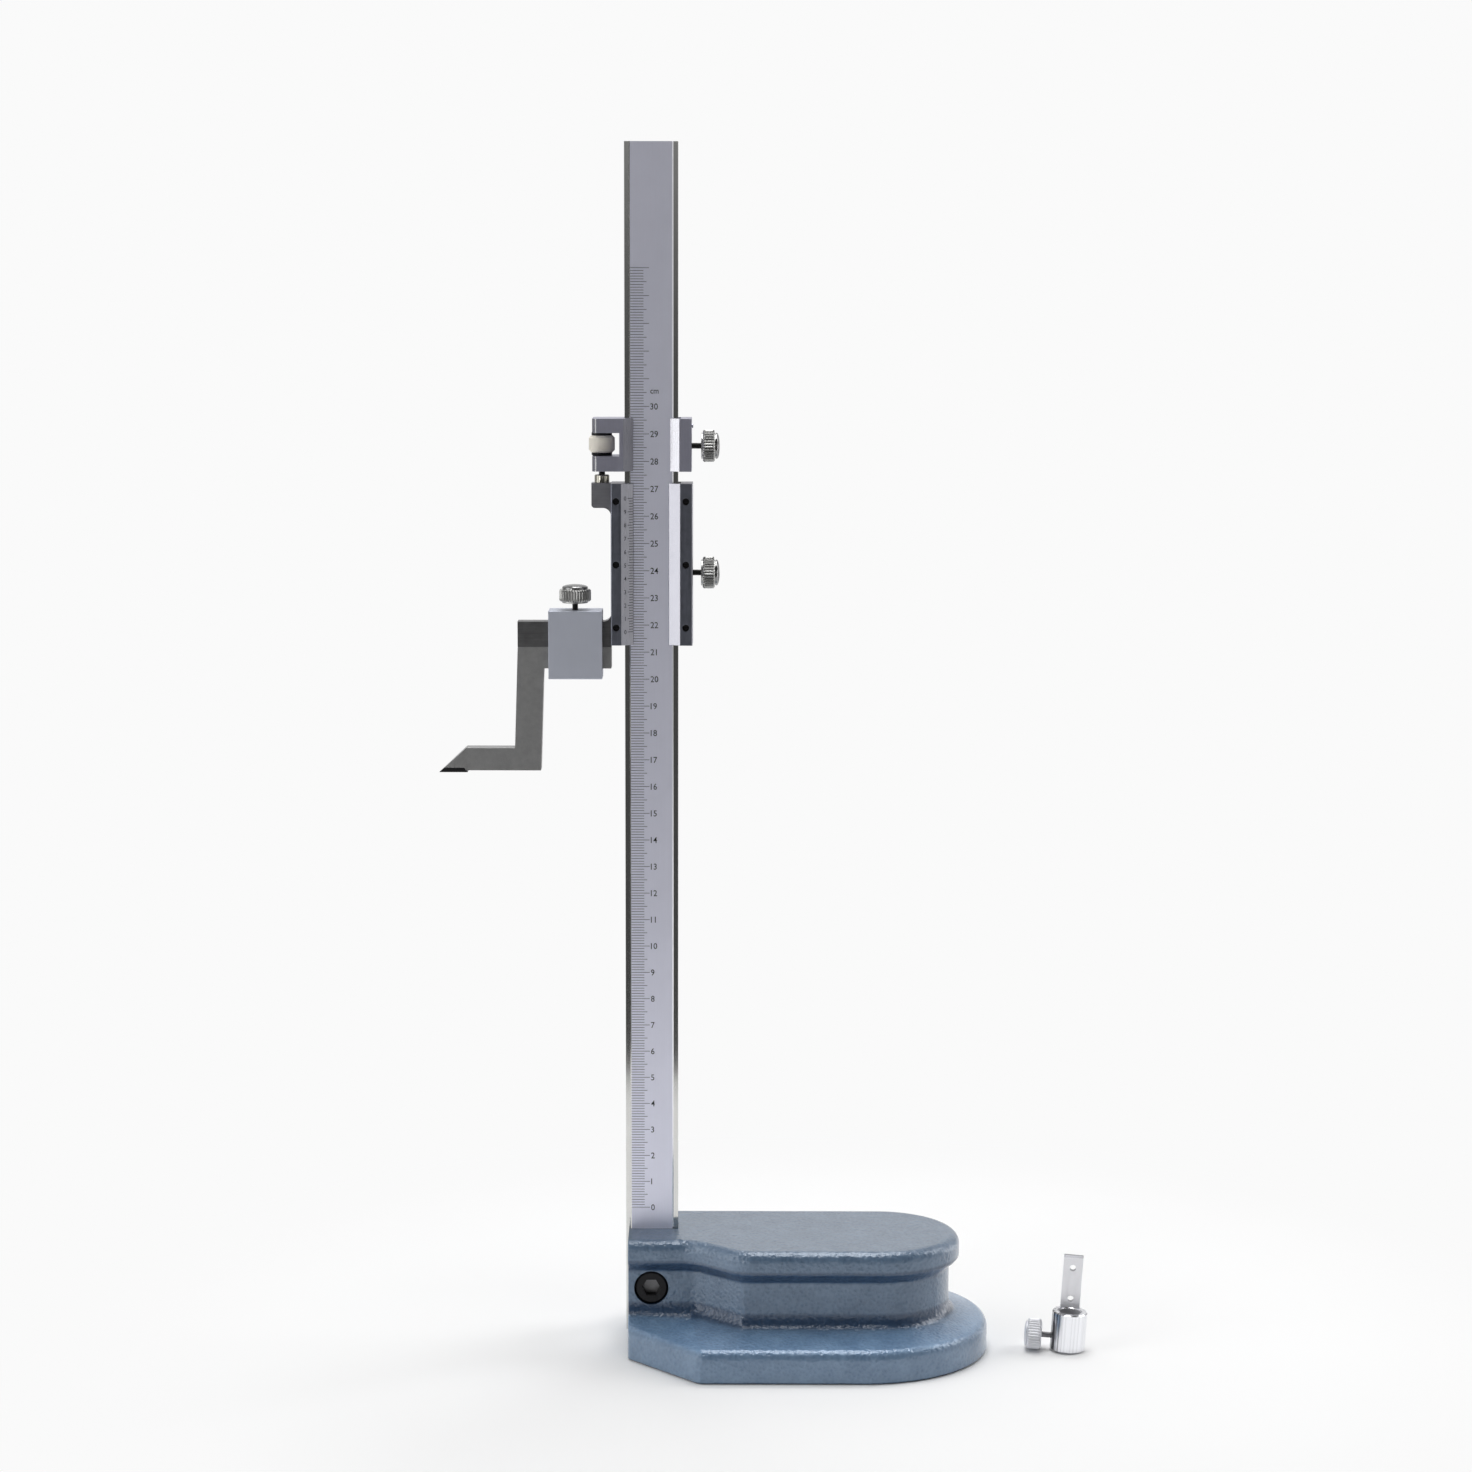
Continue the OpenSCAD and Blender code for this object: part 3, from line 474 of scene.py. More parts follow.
def linear(hex_colour: str) -> tuple[float, float, float, float]:
    """Turns an sRGB hex colour into linear light with full alpha.

    Args:
        hex_colour: Six hex digits after a hash.

    Returns:
        Red, green, blue and alpha.
    """
    parts = [int(hex_colour[i:i + 2], 16) / 255 for i in (1, 3, 5)]
    red, green, blue = (p / 12.92 if p <= 0.04045 else ((p + 0.055) / 1.055) ** 2.4 for p in parts)
    return red, green, blue, 1.0


class Nodes:
    """A node tree, with short ways to add what most finishes need.

    Every value may be a number, a vector or another node's output.
    """

    def __init__(self, tree: bpy.types.NodeTree, where: str = "Object") -> None:
        """Empties the tree and adds the texture coordinates.

        Args:
            tree: Node tree of a material or a world.
            where: Name of the coordinates.
        """
        self.tree = tree
        tree.nodes.clear()
        self.place = self.add("TexCoord", where)

    def add(self, kind: str, output: Optional[str], inputs: Optional[dict[Any, Any]] = None,
            **settings: Any) -> Any:
        """Adds a node, sets its properties and fills its sockets.

        Args:
            kind: The node's type name without its first two words.
            output: Name of the output that is wanted.
            inputs: Socket values by name or number.
            settings: Properties by name.

        Returns:
            The output's socket.
        """
        node = self.tree.nodes.new("ShaderNode" + kind)
        for name, value in settings.items():
            setattr(node, name, value)
        for name, value in (inputs or {}).items():
            if isinstance(value, bpy.types.NodeSocket):
                self.tree.links.new(value, node.inputs[name])
            else:
                node.inputs[name].default_value = value
        return node.outputs[output] if output else None

    def noise(self, cell_mm: float, detail: float, roughness: float = 0.5, where: Any = None) -> Any:
        """Noise with one cell for every given number of millimetres.

        Args:
            cell_mm: Width of a cell.
            detail: Number of finer layers.
            roughness: Strength of each finer layer.
            where: The place, if it isn't the object's own.

        Returns:
            A value that lies mostly between 0.3 and 0.7.
        """
        return self.add("TexNoise", "Fac", {
            "Vector": self.place if where is None else where, "Scale": 1.0 / (cell_mm * MM),
            "Detail": detail, "Roughness": roughness})

    def spread(self, value: Any, low: Any, high: Any, span: tuple[float, float] = (0.3, 0.7)) -> Any:
        """A value that runs evenly from low to high while another runs over a span.

        Args:
            value: What is looked at.
            low: The result at the span's start and before it.
            high: The result at its end and after it.
            span: Start and end.

        Returns:
            The result.
        """
        return self.add("MapRange", "Result", {
            "Value": value, "From Min": span[0], "From Max": span[1], "To Min": low, "To Max": high})

    def ease(self, value: Any, span: Sequence[float], first: Any = 0.0, second: Any = 1.0) -> Any:
        """A smooth change from a first value to a second while another runs over a span.

        Args:
            value: What is looked at.
            span: Start and end; the start may be the greater.
            first: The result before the start.
            second: The result after the end.

        Returns:
            The result.
        """
        start, end = span
        if start > end:
            start, end, first, second = end, start, second, first
        return self.add("MapRange", "Result", {
            "Value": value, "From Min": start, "From Max": end, "To Min": first, "To Max": second},
            interpolation_type="SMOOTHSTEP")

    def math(self, operation: str, *values: Any) -> Any:
        """A sum, a difference or another operation.

        Args:
            operation: Its name.
            values: What it works on.

        Returns:
            The result.
        """
        return self.add("Math", "Value", dict(enumerate(values)), operation=operation)

    def mix(self, kind: str, share: Any, first: Any, second: Any) -> Any:
        """A mixture of two colours or vectors.

        Args:
            kind: RGBA or VECTOR.
            share: Share of the second.
            first: The first.
            second: The second.

        Returns:
            The mixture.
        """
        return self.add("Mix", "Result", {"Factor": share, "A": first, "B": second}, data_type=kind)

    def scaled(self, colour: Any, by: Any) -> Any:
        """A colour made darker or paler.

        Args:
            colour: The colour.
            by: How often it is taken.

        Returns:
            The new colour.
        """
        return self.add("VectorMath", "Vector", {0: colour, "Scale": by}, operation="SCALE")

    def bump(self, height: Any, strength: float, depth_mm: float) -> Any:
        """Fine relief.

        Args:
            height: Its height.
            strength: How strongly it shows.
            depth_mm: Its depth where the height is one.

        Returns:
            The normal.
        """
        return self.add("Bump", "Normal", {"Strength": strength, "Distance": depth_mm * MM, "Height": height})

    def both(self, share: Any, first: Any, second: Any) -> Any:
        """One shader where a share is zero and another where it is one.

        Args:
            share: Share of the second.
            first: The first.
            second: The second.

        Returns:
            The mixed shader.
        """
        return self.add("MixShader", "Shader", {0: share, 1: first, 2: second})


class Finish(abc.ABC):
    """How a surface was made, which is how it looks."""

    name: str

    @abc.abstractmethod
    def surface(self, nodes: Nodes) -> Any:
        """Adds the nodes of the finish.

        Args:
            nodes: The material's nodes.

        Returns:
            The surface's shader.
        """

    def material(self) -> bpy.types.Material:
        """Builds the finish.

        Returns:
            The material.
        """
        made = bpy.data.materials.new(self.name)
        made.use_nodes = True
        nodes = Nodes(made.node_tree)
        nodes.add("OutputMaterial", None, {"Surface": self.surface(nodes)})
        return made


class Grain(enum.Enum):
    """The way the abrasive ran when a face was ground."""

    ALONG_X = (0.02, 1.0, 1.0)
    ALONG_Z = (1.0, 1.0, 0.02)
    ALL_ROUND = (1.0, 1.0, 1.0)


@dataclass(frozen=True)
class GroundSteel(Finish):
    """Tool steel, surface ground or turned.

    Grinding leaves fine parallel scratches, which stretch reflections along the cut and give a
    satin sheen; the finest of them scatter a matt share of the light. The real scratches are some
    0.02 mm apart; they are drawn ten times coarser and more so that they show.
    """

    name: str
    colour: str
    roughness: float = 0.3
    grain: Grain = Grain.ALONG_Z
    scratch_mm: float = 0.3
    scratch_depth: float = 0.0
    scratch_tone: float = 0.15
    metallic: float = 0.8
    stain: float = 0.1
    stain_mm: float = 7.0

    def surface(self, nodes: Nodes) -> Any:
        """Adds scratches along the grain, and stains.

        Args:
            nodes: The material's nodes.

        Returns:
            The surface's shader.
        """
        along = nodes.add("Mapping", "Vector", {"Vector": nodes.place, "Scale": self.grain.value})
        scratches = nodes.noise(self.scratch_mm, 3.0, 0.65, along)
        tone = nodes.math("ADD", nodes.noise(self.stain_mm, 4.0, 0.6), scratches)
        shade = nodes.spread(tone, 1 - self.stain, 1 + self.stain, (0.7, 1.3))
        return nodes.add("BsdfPrincipled", "BSDF", {
            "Base Color": nodes.scaled(linear(self.colour)[:3], shade), "Metallic": self.metallic,
            "Roughness": nodes.spread(scratches, self.roughness * (1 - self.scratch_tone),
                                      self.roughness * (1 + self.scratch_tone)),
            "Normal": nodes.bump(scratches, self.scratch_depth, 0.05)})


@dataclass(frozen=True)
class PlatedMetal(Finish):
    """Nickel or chromium plate on turned steel.

    Plating fills the turning marks, so it reflects sharply where it was polished first. A thin haze
    of handling marks breaks up the gloss, and the valleys of a knurl get painted shade. A drawn tube
    has fine lines along it: painted dark streaks that stand for reflections, darkest on its unlit side.
    """

    name: str
    colour: str
    roughness: float
    haze: float = 0.05
    haze_mm: float = 2.5
    metallic: float = 1.0
    # How often the colour is taken at the bottom of a knurl's valleys: painted shade.
    valley: float = 1.0
    # A tube's lines are painted streaks that stand for reflections, darkest on the shaded side: painted shade.
    drawn: float = 0.0
    drawn_lit: float = 0.12
    drawn_mm: float = 0.7
    lean: float = 0.0
    dark_side_mm: tuple[float, float] = (0.0, 1.0)

    def surface(self, nodes: Nodes) -> Any:
        """Adds haze, painted shade in the valleys and, on a tube, the painted streaks.

        Args:
            nodes: The material's nodes.

        Returns:
            The surface's shader.
        """
        # Painted shade: the colour darkens towards the bottom of a knurl's valleys.
        groove = nodes.add("Attribute", "Fac", attribute_name=VALLEY)
        colour = nodes.scaled(linear(self.colour)[:3], nodes.spread(groove, 1.0, self.valley, (0.0, 1.0)))
        if self.drawn:
            colour = nodes.scaled(colour, self.lines(nodes))
        rough = nodes.spread(nodes.noise(self.haze_mm, 5.0), self.roughness, self.roughness + self.haze)
        return nodes.add("BsdfPrincipled", "BSDF", {
            "Base Color": colour, "Metallic": self.metallic, "Roughness": rough})

    def lines(self, nodes: Nodes) -> Any:
        """Brightness of a tube's lines: painted streaks that stand for reflections, faded by painted shade from
        its dark side to its lit side.

        Args:
            nodes: The material's nodes.

        Returns:
            The brightness, one between the lines.
        """
        upright = nodes.add("VectorRotate", "Vector", {
            "Vector": nodes.place, "Angle": -math.radians(self.lean)}, rotation_type="Y_AXIS")
        along = nodes.add("Mapping", "Vector", {"Vector": upright, "Scale": (1.0, 1.0, 0.01)})
        across = nodes.add("SeparateXYZ", "X", {"Vector": upright})
        shaded_side = [mm * MM for mm in self.dark_side_mm]
        depth = nodes.ease(across, shaded_side, 1 - self.drawn, 1 - self.drawn_lit * self.drawn)
        return nodes.ease(nodes.noise(self.drawn_mm, 3.0, where=along), (0.46, 0.54), depth, 1.0)


@dataclass(frozen=True)
class HammeredEnamel(Finish):
    """Hammer-finish enamel sprayed on a sand casting, with a ground foot.

    The paint flows into shallow dimples about 1.3 mm across with aluminium flake in them, so the
    colour is mottled and highlights break up. Bands by height lay painted light and shade over it:
    painted shade in the two hollows of the casting, under the rim and at the waist's foot, and
    painted light on the flange's wall and, palest, on its slope. The foot below the paint line is
    bare ground iron. Each band holds the heights where it starts, is full, stays full and ends, and
    how often the paint's red, green and blue are taken there.
    """

    name: str = "hammered_enamel_on_cast_iron"
    paint: str = "#4b627b"
    paint_pale: str = "#657c94"
    iron: str = "#8f9090"
    dimple_mm: float = 1.3
    flow_mm: float = 1.17
    cloud_mm: float = 9.0
    scour_mm: float = 0.4
    paint_line_mm: float = 0.25
    # Painted light and shade: wall and slope paler, waist's foot and under the rim darker.
    tones: tuple[tuple[tuple[float, float, float, float], tuple[float, float, float]], ...] = (
        ((-2.0, -1.0, 10.5, 12.5), (1.3, 1.3, 1.3)),
        ((10.5, 12.5, 14.4, 15.8), (1.75, 1.8, 1.85)),
        ((14.6, 16.2, 19.4, 21.0), (0.25, 0.37, 0.5)),
        ((31.0, 33.0, 36.4, 37.8), (0.3, 0.4, 0.52)))

    def surface(self, nodes: Nodes) -> Any:
        """Adds dimples, clouds, the bands of painted light and shade, and the bare foot.

        Args:
            nodes: The material's nodes.

        Returns:
            The surface's shader.
        """
        dimples = nodes.add("TexVoronoi", "Distance", {
            "Vector": nodes.place, "Scale": 1.0 / (self.dimple_mm * MM), "Smoothness": 0.8},
            feature="SMOOTH_F1")
        height = nodes.math("ADD", dimples, nodes.noise(self.flow_mm, 3.0, 0.55))
        tone = nodes.math("MULTIPLY_ADD", height, 0.5, nodes.noise(self.cloud_mm, 3.0))
        share = nodes.spread(tone, 0.0, 1.0, (0.6, 1.4))
        paint = nodes.mix("RGBA", share, linear(self.paint), linear(self.paint_pale))
        up = nodes.add("SeparateXYZ", "Z", {"Vector": nodes.place})
        # Each band takes the paint's colour more or less often by height, as painted light and shade.
        for (low, full_low, full_high, high), painted_light_there in self.tones:
            within = nodes.math("SUBTRACT", nodes.ease(up, (low * MM, full_low * MM)),
                                nodes.ease(up, (full_high * MM, high * MM)))
            there = nodes.mix("VECTOR", within, (1.0, 1.0, 1.0), painted_light_there)
            paint = nodes.add("VectorMath", "Vector", {0: paint, 1: there}, operation="MULTIPLY")
        relief = nodes.bump(height, 1.0, 0.2)
        enamel = nodes.add("BsdfPrincipled", "BSDF", {
            "Base Color": paint, "Metallic": 0.15, "Roughness": 0.38, "IOR": 1.5, "Coat Weight": 1.0,
            "Coat Roughness": 0.19, "Normal": relief, "Coat Normal": relief})
        ground = nodes.add("BsdfPrincipled", "BSDF", {
            "Base Color": linear(self.iron), "Metallic": 1.0, "Roughness": 0.35,
            "Normal": nodes.bump(nodes.noise(self.scour_mm, 2.0), 0.1, 0.05)})
        return nodes.both(nodes.math("GREATER_THAN", up, self.paint_line_mm * MM), ground, enamel)


@dataclass(frozen=True)
class BlackOxide(Finish):
    """Blackened steel: a thin oxide with a dull oily sheen that shows the tool marks."""

    name: str = "black_oxide_on_steel"
    colour: str = "#1a1a1c"
    dullest: float = 0.5
    shiniest: float = 0.34
    mark_mm: float = 0.6

    def surface(self, nodes: Nodes) -> Any:
        """Adds tool marks.

        Args:
            nodes: The material's nodes.

        Returns:
            The surface's shader.
        """
        marks = nodes.noise(self.mark_mm, 3.0)
        return nodes.add("BsdfPrincipled", "BSDF", {
            "Base Color": linear(self.colour), "Metallic": 0.6,
            "Roughness": nodes.spread(marks, self.shiniest, self.dullest),
            "Normal": nodes.bump(marks, 0.15, 0.05)})


@dataclass(frozen=True)
class MarkPaint(Finish):
    """Black paint wiped into etched lines: matt, slightly worn, so it reads dark grey."""

    name: str = "black_paint_in_etched_lines"
    colour: str = "#1d1d22"
    roughness: float = 0.6
    wear_mm: float = 1.5

    def surface(self, nodes: Nodes) -> Any:
        """Adds worn patches.

        Args:
            nodes: The material's nodes.

        Returns:
            The surface's shader.
        """
        worn = nodes.spread(nodes.noise(self.wear_mm, 4.0), 0.8, 1.3)
        return nodes.add("BsdfPrincipled", "BSDF", {
            "Base Color": nodes.scaled(linear(self.colour)[:3], worn), "Roughness": self.roughness})


@dataclass(frozen=True)
class StudioFloor(Finish):
    """A pale paper sweep that keeps the object's shadow and turns plain white further out."""

    name: str = "paper_sweep"
    colour: str = "#f9f9f9"
    centre_mm: tuple[float, float, float] = (60.0, 0.0, 0.0)
    near_mm: float = 170.0
    far_mm: float = 300.0

    def surface(self, nodes: Nodes) -> Any:
        """Mixes lit paper with plain white, which only the camera sees.

        Args:
            nodes: The material's nodes.

        Returns:
            The surface's shader.
        """
        away = nodes.add("VectorMath", "Value", {
            0: nodes.place, 1: tuple(c * MM for c in self.centre_mm)}, operation="DISTANCE")
        far = nodes.ease(away, (self.near_mm * MM, self.far_mm * MM))
        plain = nodes.math("MULTIPLY", far, nodes.add("LightPath", "Is Camera Ray"))
        paper = nodes.add("BsdfDiffuse", "BSDF", {"Color": linear(self.colour)})
        white = nodes.add("Emission", "Emission", {"Color": (PAGE_WHITE,) * 3 + (1.0,)})
        return nodes.both(plain, paper, white)


class Finishes:
    """Every finish on the gauge, built once."""

    def __init__(self) -> None:
        """Builds the materials."""
        along_x, all_round = Grain.ALONG_X, Grain.ALL_ROUND
        self.enamel = HammeredEnamel().material()
        self.land = GroundSteel("satin_ground_stainless_steel", "#ecedfc", 0.42, scratch_mm=0.4,
                                scratch_tone=0.03, metallic=0.65, stain=0.02, stain_mm=12.0).material()
        # A darker copy of the beam's steel for its back face: painted shade.
        self.back = GroundSteel("ground_steel_back_painted_shade", "#babbc4", 0.42, scratch_mm=0.4, stain=0.06,
                                stain_mm=12.0).material()
        self.rebate = GroundSteel("polished_stainless_steel", "#d8d8d6", 0.1, scratch_mm=0.4,
                                  metallic=1.0, stain=0.05).material()
        self.edge = GroundSteel("stoned_steel_edge", "#eeeef2", 0.16, metallic=1.0, stain=0.03).material()
        self.dark_face = GroundSteel("dark_hardened_ground_steel", "#777a85", 0.34, scratch_mm=0.25,
                                     scratch_depth=0.02, stain=0.16, stain_mm=3.0).material()
        self.frame = GroundSteel("hardened_ground_steel", "#97979d", 0.36, along_x, 0.25, 0.03,
                                 stain=0.12, stain_mm=5.0).material()
        self.arm = GroundSteel("heat_darkened_ground_steel", "#6e6e6f", 0.38, along_x, 0.25, 0.03,
                               stain=0.2, stain_mm=4.0).material()
        self.bevel = GroundSteel("bright_ground_bevel", "#aeaeb6", scratch_depth=0.01, stain=0.05).material()
        # The carriage's two front bevels are one ground steel, drawn as a dark copy and a bright copy: painted
        # shade and painted highlight.
        self.dull_bevel = GroundSteel("ground_bevel_painted_shade", "#8c8c94", scratch_depth=0.01,
                                      stain=0.05).material()
        self.guide_bevel = GroundSteel("smooth_ground_bevel", "#b6b6be", 0.2, scratch_depth=0.01,
                                       stain=0.04).material()
        self.lip = GroundSteel("broad_bevel_painted_highlight", "#ebebf1", 0.28, stain=0.03).material()
        # Painted highlight and painted shade on the carriage's rounded left edge.
        self.glint = GroundSteel("rounded_edge_painted_highlight", "#ffffff", 0.5, metallic=0.2, stain=0.03).material()
        self.turned_away = GroundSteel("shaded_rounded_edge", "#6c6c74", 0.4, stain=0.03).material()
        # A darker copy of the blade's plate for its upward faces: painted shade.
        self.blade_edge = GroundSteel("shaded_broken_edge", "#a4a4a9", 0.3, all_round, metallic=1.0,
                                      stain=0.03).material()
        self.reamed = GroundSteel("reamed_bore_steel", "#bcbcc0", 0.5, all_round, 0.3, 0.05,
                                  metallic=0.2, stain=0.06).material()
        self.carriage = GroundSteel("satin_ground_carriage_steel", "#b1b1c1", 0.36, scratch_mm=0.25,
                                    scratch_depth=0.01, stain=0.06, stain_mm=6.0).material()
        self.box = GroundSteel("satin_ground_box_steel", "#c2c6d2", 0.5, scratch_mm=0.25,
                               scratch_depth=0.01, metallic=0.5, stain=0.03, stain_mm=9.0).material()
        self.scriber = GroundSteel("hardened_scriber_steel", "#a6a6a6", 0.38, all_round, 0.25, 0.03,
                                   stain=0.13, stain_mm=2.5).material()
        self.carbide = GroundSteel("ground_tungsten_carbide", "#3a3a3c", 0.3, along_x, 0.25, 0.05,
                                   stain=0.08).material()
        self.thread = GroundSteel("oiled_thread_steel", "#3c3c3a", 0.35, all_round, 0.2, 0.05).material()
        # A paler grey for the socket's floor: painted reflection.
        self.socket = GroundSteel("socket_floor_painted_reflection", "#7a7a7c", 0.45, all_round, 0.3, 0.05,
                                  stain=0.15).material()
        self.turned = PlatedMetal("bright_turned_steel", "#a9a69c", 0.12, haze=0.04).material()
        self.knurl = PlatedMetal("nickel_plated_knurled_steel", "#bfbfbd", 0.3, valley=0.4).material()
        # The lock screws' domes are drawn darker than their grips' plate: painted shade.
        self.dome = PlatedMetal("polished_nickel_dome_painted_shade", "#8c8c8c", 0.16).material()
        self.cream_knurl = PlatedMetal("dull_nickel_knurled_nut", "#fffaee", 0.5, metallic=0.2,
                                       valley=0.8).material()
        self.nickel = PlatedMetal("bright_nickel_plate", "#eeeff4", 0.45, metallic=0.5,
                                  valley=0.82).material()
        self.pale_thread = PlatedMetal("nickel_plated_thread", "#9b9b9e", 0.3).material()
        # The sleeve's lines are painted reflections, darkest on its shaded side.
        self.chrome = PlatedMetal("polished_chromium_plate", "#f4f5f9", 0.2, drawn=0.85, lean=3.5,
                                  dark_side_mm=(149.6, 153.6)).material()
        self.satin_plate = PlatedMetal("satin_chromium_plate", "#efeff3", 0.34, metallic=0.65).material()
        self.bronze = PlatedMetal("rolled_bronze_strip", "#b08d4a", 0.35).material()
        self.black = BlackOxide().material()
        self.paint = MarkPaint().material()


# ---------------------------------------------------------------- base


@dataclass
class Base:
    """The painted casting and the screw that clamps the beam in it."""

    left: float = 8.6
    flange_right: float = 126.0
    flange_front: float = 53.7
    flange_back: float = 41.3
    flange_nose: float = 25.4
    nose_front_run: float = 17.7
    nose_back_run: float = 6.2
    top_right: float = 115.3
    top_front: float = 37.3
    top_back: float = 23.5
    neck_front: float = 22.2
    neck_run: float = 15.5
    shoulder_run: float = 32.4
    shoulder_r: float = 16.0
    height: float = 44.3
    flange_wall: float = 8.5
    flange_round: float = 4.0
    crown: float = 14.6
    fillet_top: float = 20.0
    waist_top: float = 31.7
    rim_low: float = 36.6
    rim_round: float = 4.0
    waist_in: float = 3.8
    slot_floor: float = 5.0
    slot_half_width: float = 4.05
    slot_right: float = 9.8
    relief_depth: float = 1.2
    relief_rim: float = 13.0
    relief_left: float = 22.0
    foot_edge: float = 0.8
    nose_r: float = 4.5
    waist_corner_r: float = 3.5
    least_r: float = 0.4
    crown_share: float = 0.69
    round_end: float = 75.0
    screw_up: float = 25.55
    bore_d: float = 12.8
    bore_floor: float = -9.9
    shank_hole_d: float = 8.1
    shank_hole_end: float = 16.0
    head_h: float = 8.0
    socket_r: float = 3.5
    socket_in: float = 0.5
    over: float = 2.0
    end_corners: tuple[int, int] = (3, 4)
    straight_half: float = 89.0
    bore_steps: int = 96
    hole_steps: int = 64
    corner_steps: int = 16
    end_steps: int = 44
    ring_steps: int = 14

    @property
    def flange(self) -> tuple[np.ndarray, list[float]]:
        """Corners and corner radii of the flange, counter-clockwise from the nose."""
        end = (self.flange_front + self.flange_back) / 2
        corners = [(-self.left, -self.flange_nose), (self.nose_front_run, -self.flange_front),
                   (self.shoulder_run, -self.flange_front), (self.flange_right, -self.flange_front),
                   (self.flange_right, self.flange_back), (self.nose_back_run, self.flange_back),
                   (-self.left, self.flange_nose)]
        return np.array(corners), [self.nose_r, self.nose_r, self.nose_r, end, end, self.nose_r, self.nose_r]

    def top(self, corner_r: float, bend_r: float) -> tuple[np.ndarray, list[float]]:
        """Corners and corner radii of the top plate.

        Args:
            corner_r: Radius where the neck starts to widen.
            bend_r: Radius where the wide part begins.

        Returns:
            The corners and the radii.
        """
        end = (self.top_front + self.top_back) / 2
        corners = [(-self.left, -self.neck_front), (self.neck_run, -self.neck_front),
                   (self.shoulder_run, -self.top_front), (self.top_right, -self.top_front),
                   (self.top_right, self.top_back), (self.nose_back_run, self.top_back),
                   (-self.left, self.top_back)]
        return np.array(corners), [self.least_r, corner_r, bend_r, end, end, self.shoulder_r, self.least_r]

    def outline(self, shape: tuple[np.ndarray, list[float]], inward: float) -> np.ndarray:
        """An outline moved inward by a distance, with its corners rounded by arcs.

        Each corner moves to where its two moved sides meet, except that the flat left end stays.
        A point of an arc is the arc's centre plus its radius at an angle that runs evenly from
        one side to the other.

        Args:
            shape: Corners and radii.
            inward: Distance that the outline moves inward.

        Returns:
            The points of the outline.
        """
        corners, radii = shape
        count = len(corners)
        before, after = np.roll(corners, 1, 0), np.roll(corners, -1, 0)
        normal_in = np.stack([-(corners - before)[:, 1], (corners - before)[:, 0]], 1)
        normal_in /= np.linalg.norm(normal_in, axis=1)[:, None]
        normal_out = np.roll(normal_in, -1, 0)
        d_in, d_out = np.full(count, inward), np.full(count, inward)
        d_in[0] = d_out[-1] = 0.0
        cross = normal_in[:, 0] * normal_out[:, 1] - normal_in[:, 1] * normal_out[:, 0]
        straight = np.abs(cross) < 1e-3
        safe = np.where(straight, 1.0, cross)
        shift = np.stack([(d_in * normal_out[:, 1] - d_out * normal_in[:, 1]) / safe,
                          (d_out * normal_in[:, 0] - d_in * normal_out[:, 0]) / safe], 1)
        moved = corners + np.where(straight[:, None], normal_in * d_in[:, None], shift)
        arcs = []
        for i in range(count):
            a, b, c = moved[i - 1], moved[i], moved[(i + 1) % count]
            turn_right = (b - a)[0] * (c - b)[1] - (b - a)[1] * (c - b)[0] < 0
            steps = self.end_steps if i in self.end_corners else self.corner_steps
            radius = max(self.least_r, radii[i] + (inward if turn_right else -inward))
            arcs.append(self.arc(a, b, c, radius, steps))
        return np.concatenate(arcs)

    def arc(self, a: np.ndarray, b: np.ndarray, c: np.ndarray, radius: float, steps: int) -> np.ndarray:
        """The arc that rounds corner b between sides a-b and b-c, or points on a straight run.

        Args:
            a: The corner before.
            b: The corner that is rounded.
            c: The corner after.
            radius: The arc's radius.
            steps: Number of steps along it.

        Returns:
            The arc's points.
        """
        u, w = (a - b) / np.linalg.norm(a - b), (c - b) / np.linalg.norm(c - b)
        half = math.acos(max(-1.0, min(1.0, float(u @ w)))) / 2
        share = np.arange(steps + 1) / steps
        if half > math.radians(self.straight_half):
            return b + u * radius * (0.5 - share)[:, None]
        middle = (u + w) / np.linalg.norm(u + w)
        centre = b + middle * radius / math.sin(half)
        p, q = b + u * radius / math.tan(half) - centre, b + w * radius / math.tan(half) - centre
        start = math.atan2(p[1], p[0])
        sweep = (math.atan2(q[1], q[0]) - start + 3 * math.pi) % (2 * math.pi) - math.pi
        angle = start + sweep * share
        return centre + radius * np.stack([np.cos(angle), np.sin(angle)], 1)

    def rings(self) -> np.ndarray:
        """Rings of the casting's skin from the foot up.

        The flange wall ends in a rounding, a straight slope leads to the concave fillet of the
        waist, a smooth S-curve flares to the rim, and the rim ends in a quarter round.

        Returns:
            Rings by points by three.
        """
        flange, top = self.flange, self.top(self.shoulder_r, self.shoulder_r)
        inner_top = self.top(self.waist_corner_r, self.waist_corner_r + self.waist_in)
        made: list[tuple[np.ndarray, float]] = [(self.outline(flange, self.foot_edge), 0.0),
                                                (self.outline(flange, 0.0), self.foot_edge)]
        for k in range(self.ring_steps + 1):
            a = math.radians(self.round_end * k / self.ring_steps)
            made.append((self.outline(flange, self.flange_round * (1 - math.cos(a))),
                         self.flange_wall + self.flange_round * math.sin(a)))
        outer = made[-1][0]
        waist = self.outline(inner_top, self.waist_in)
        rim = self.outline(top, 0.0)
        for k in range(self.ring_steps + 1):
            a = math.radians(90 * k / self.ring_steps)
            share = self.crown_share + (1 - self.crown_share) * math.sin(a)
            made.append((outer * (1 - share) + waist * share,
                         self.crown + (self.fillet_top - self.crown) * (1 - math.cos(a))))
        for k in range(self.ring_steps + 1):
            s = k / self.ring_steps
            share = (1 - math.cos(math.pi * s)) / 2
            made.append((waist * (1 - share) + rim * share,
                         self.waist_top + (self.rim_low - self.waist_top) * s))
        for k in range(self.ring_steps + 1):
            a = math.radians(90 * k / self.ring_steps)
            made.append((self.outline(top, self.rim_round * (1 - math.cos(a))),
                         self.height - self.rim_round * (1 - math.sin(a))))
        return np.stack([np.column_stack([points, np.full(len(points), z)]) for points, z in made])

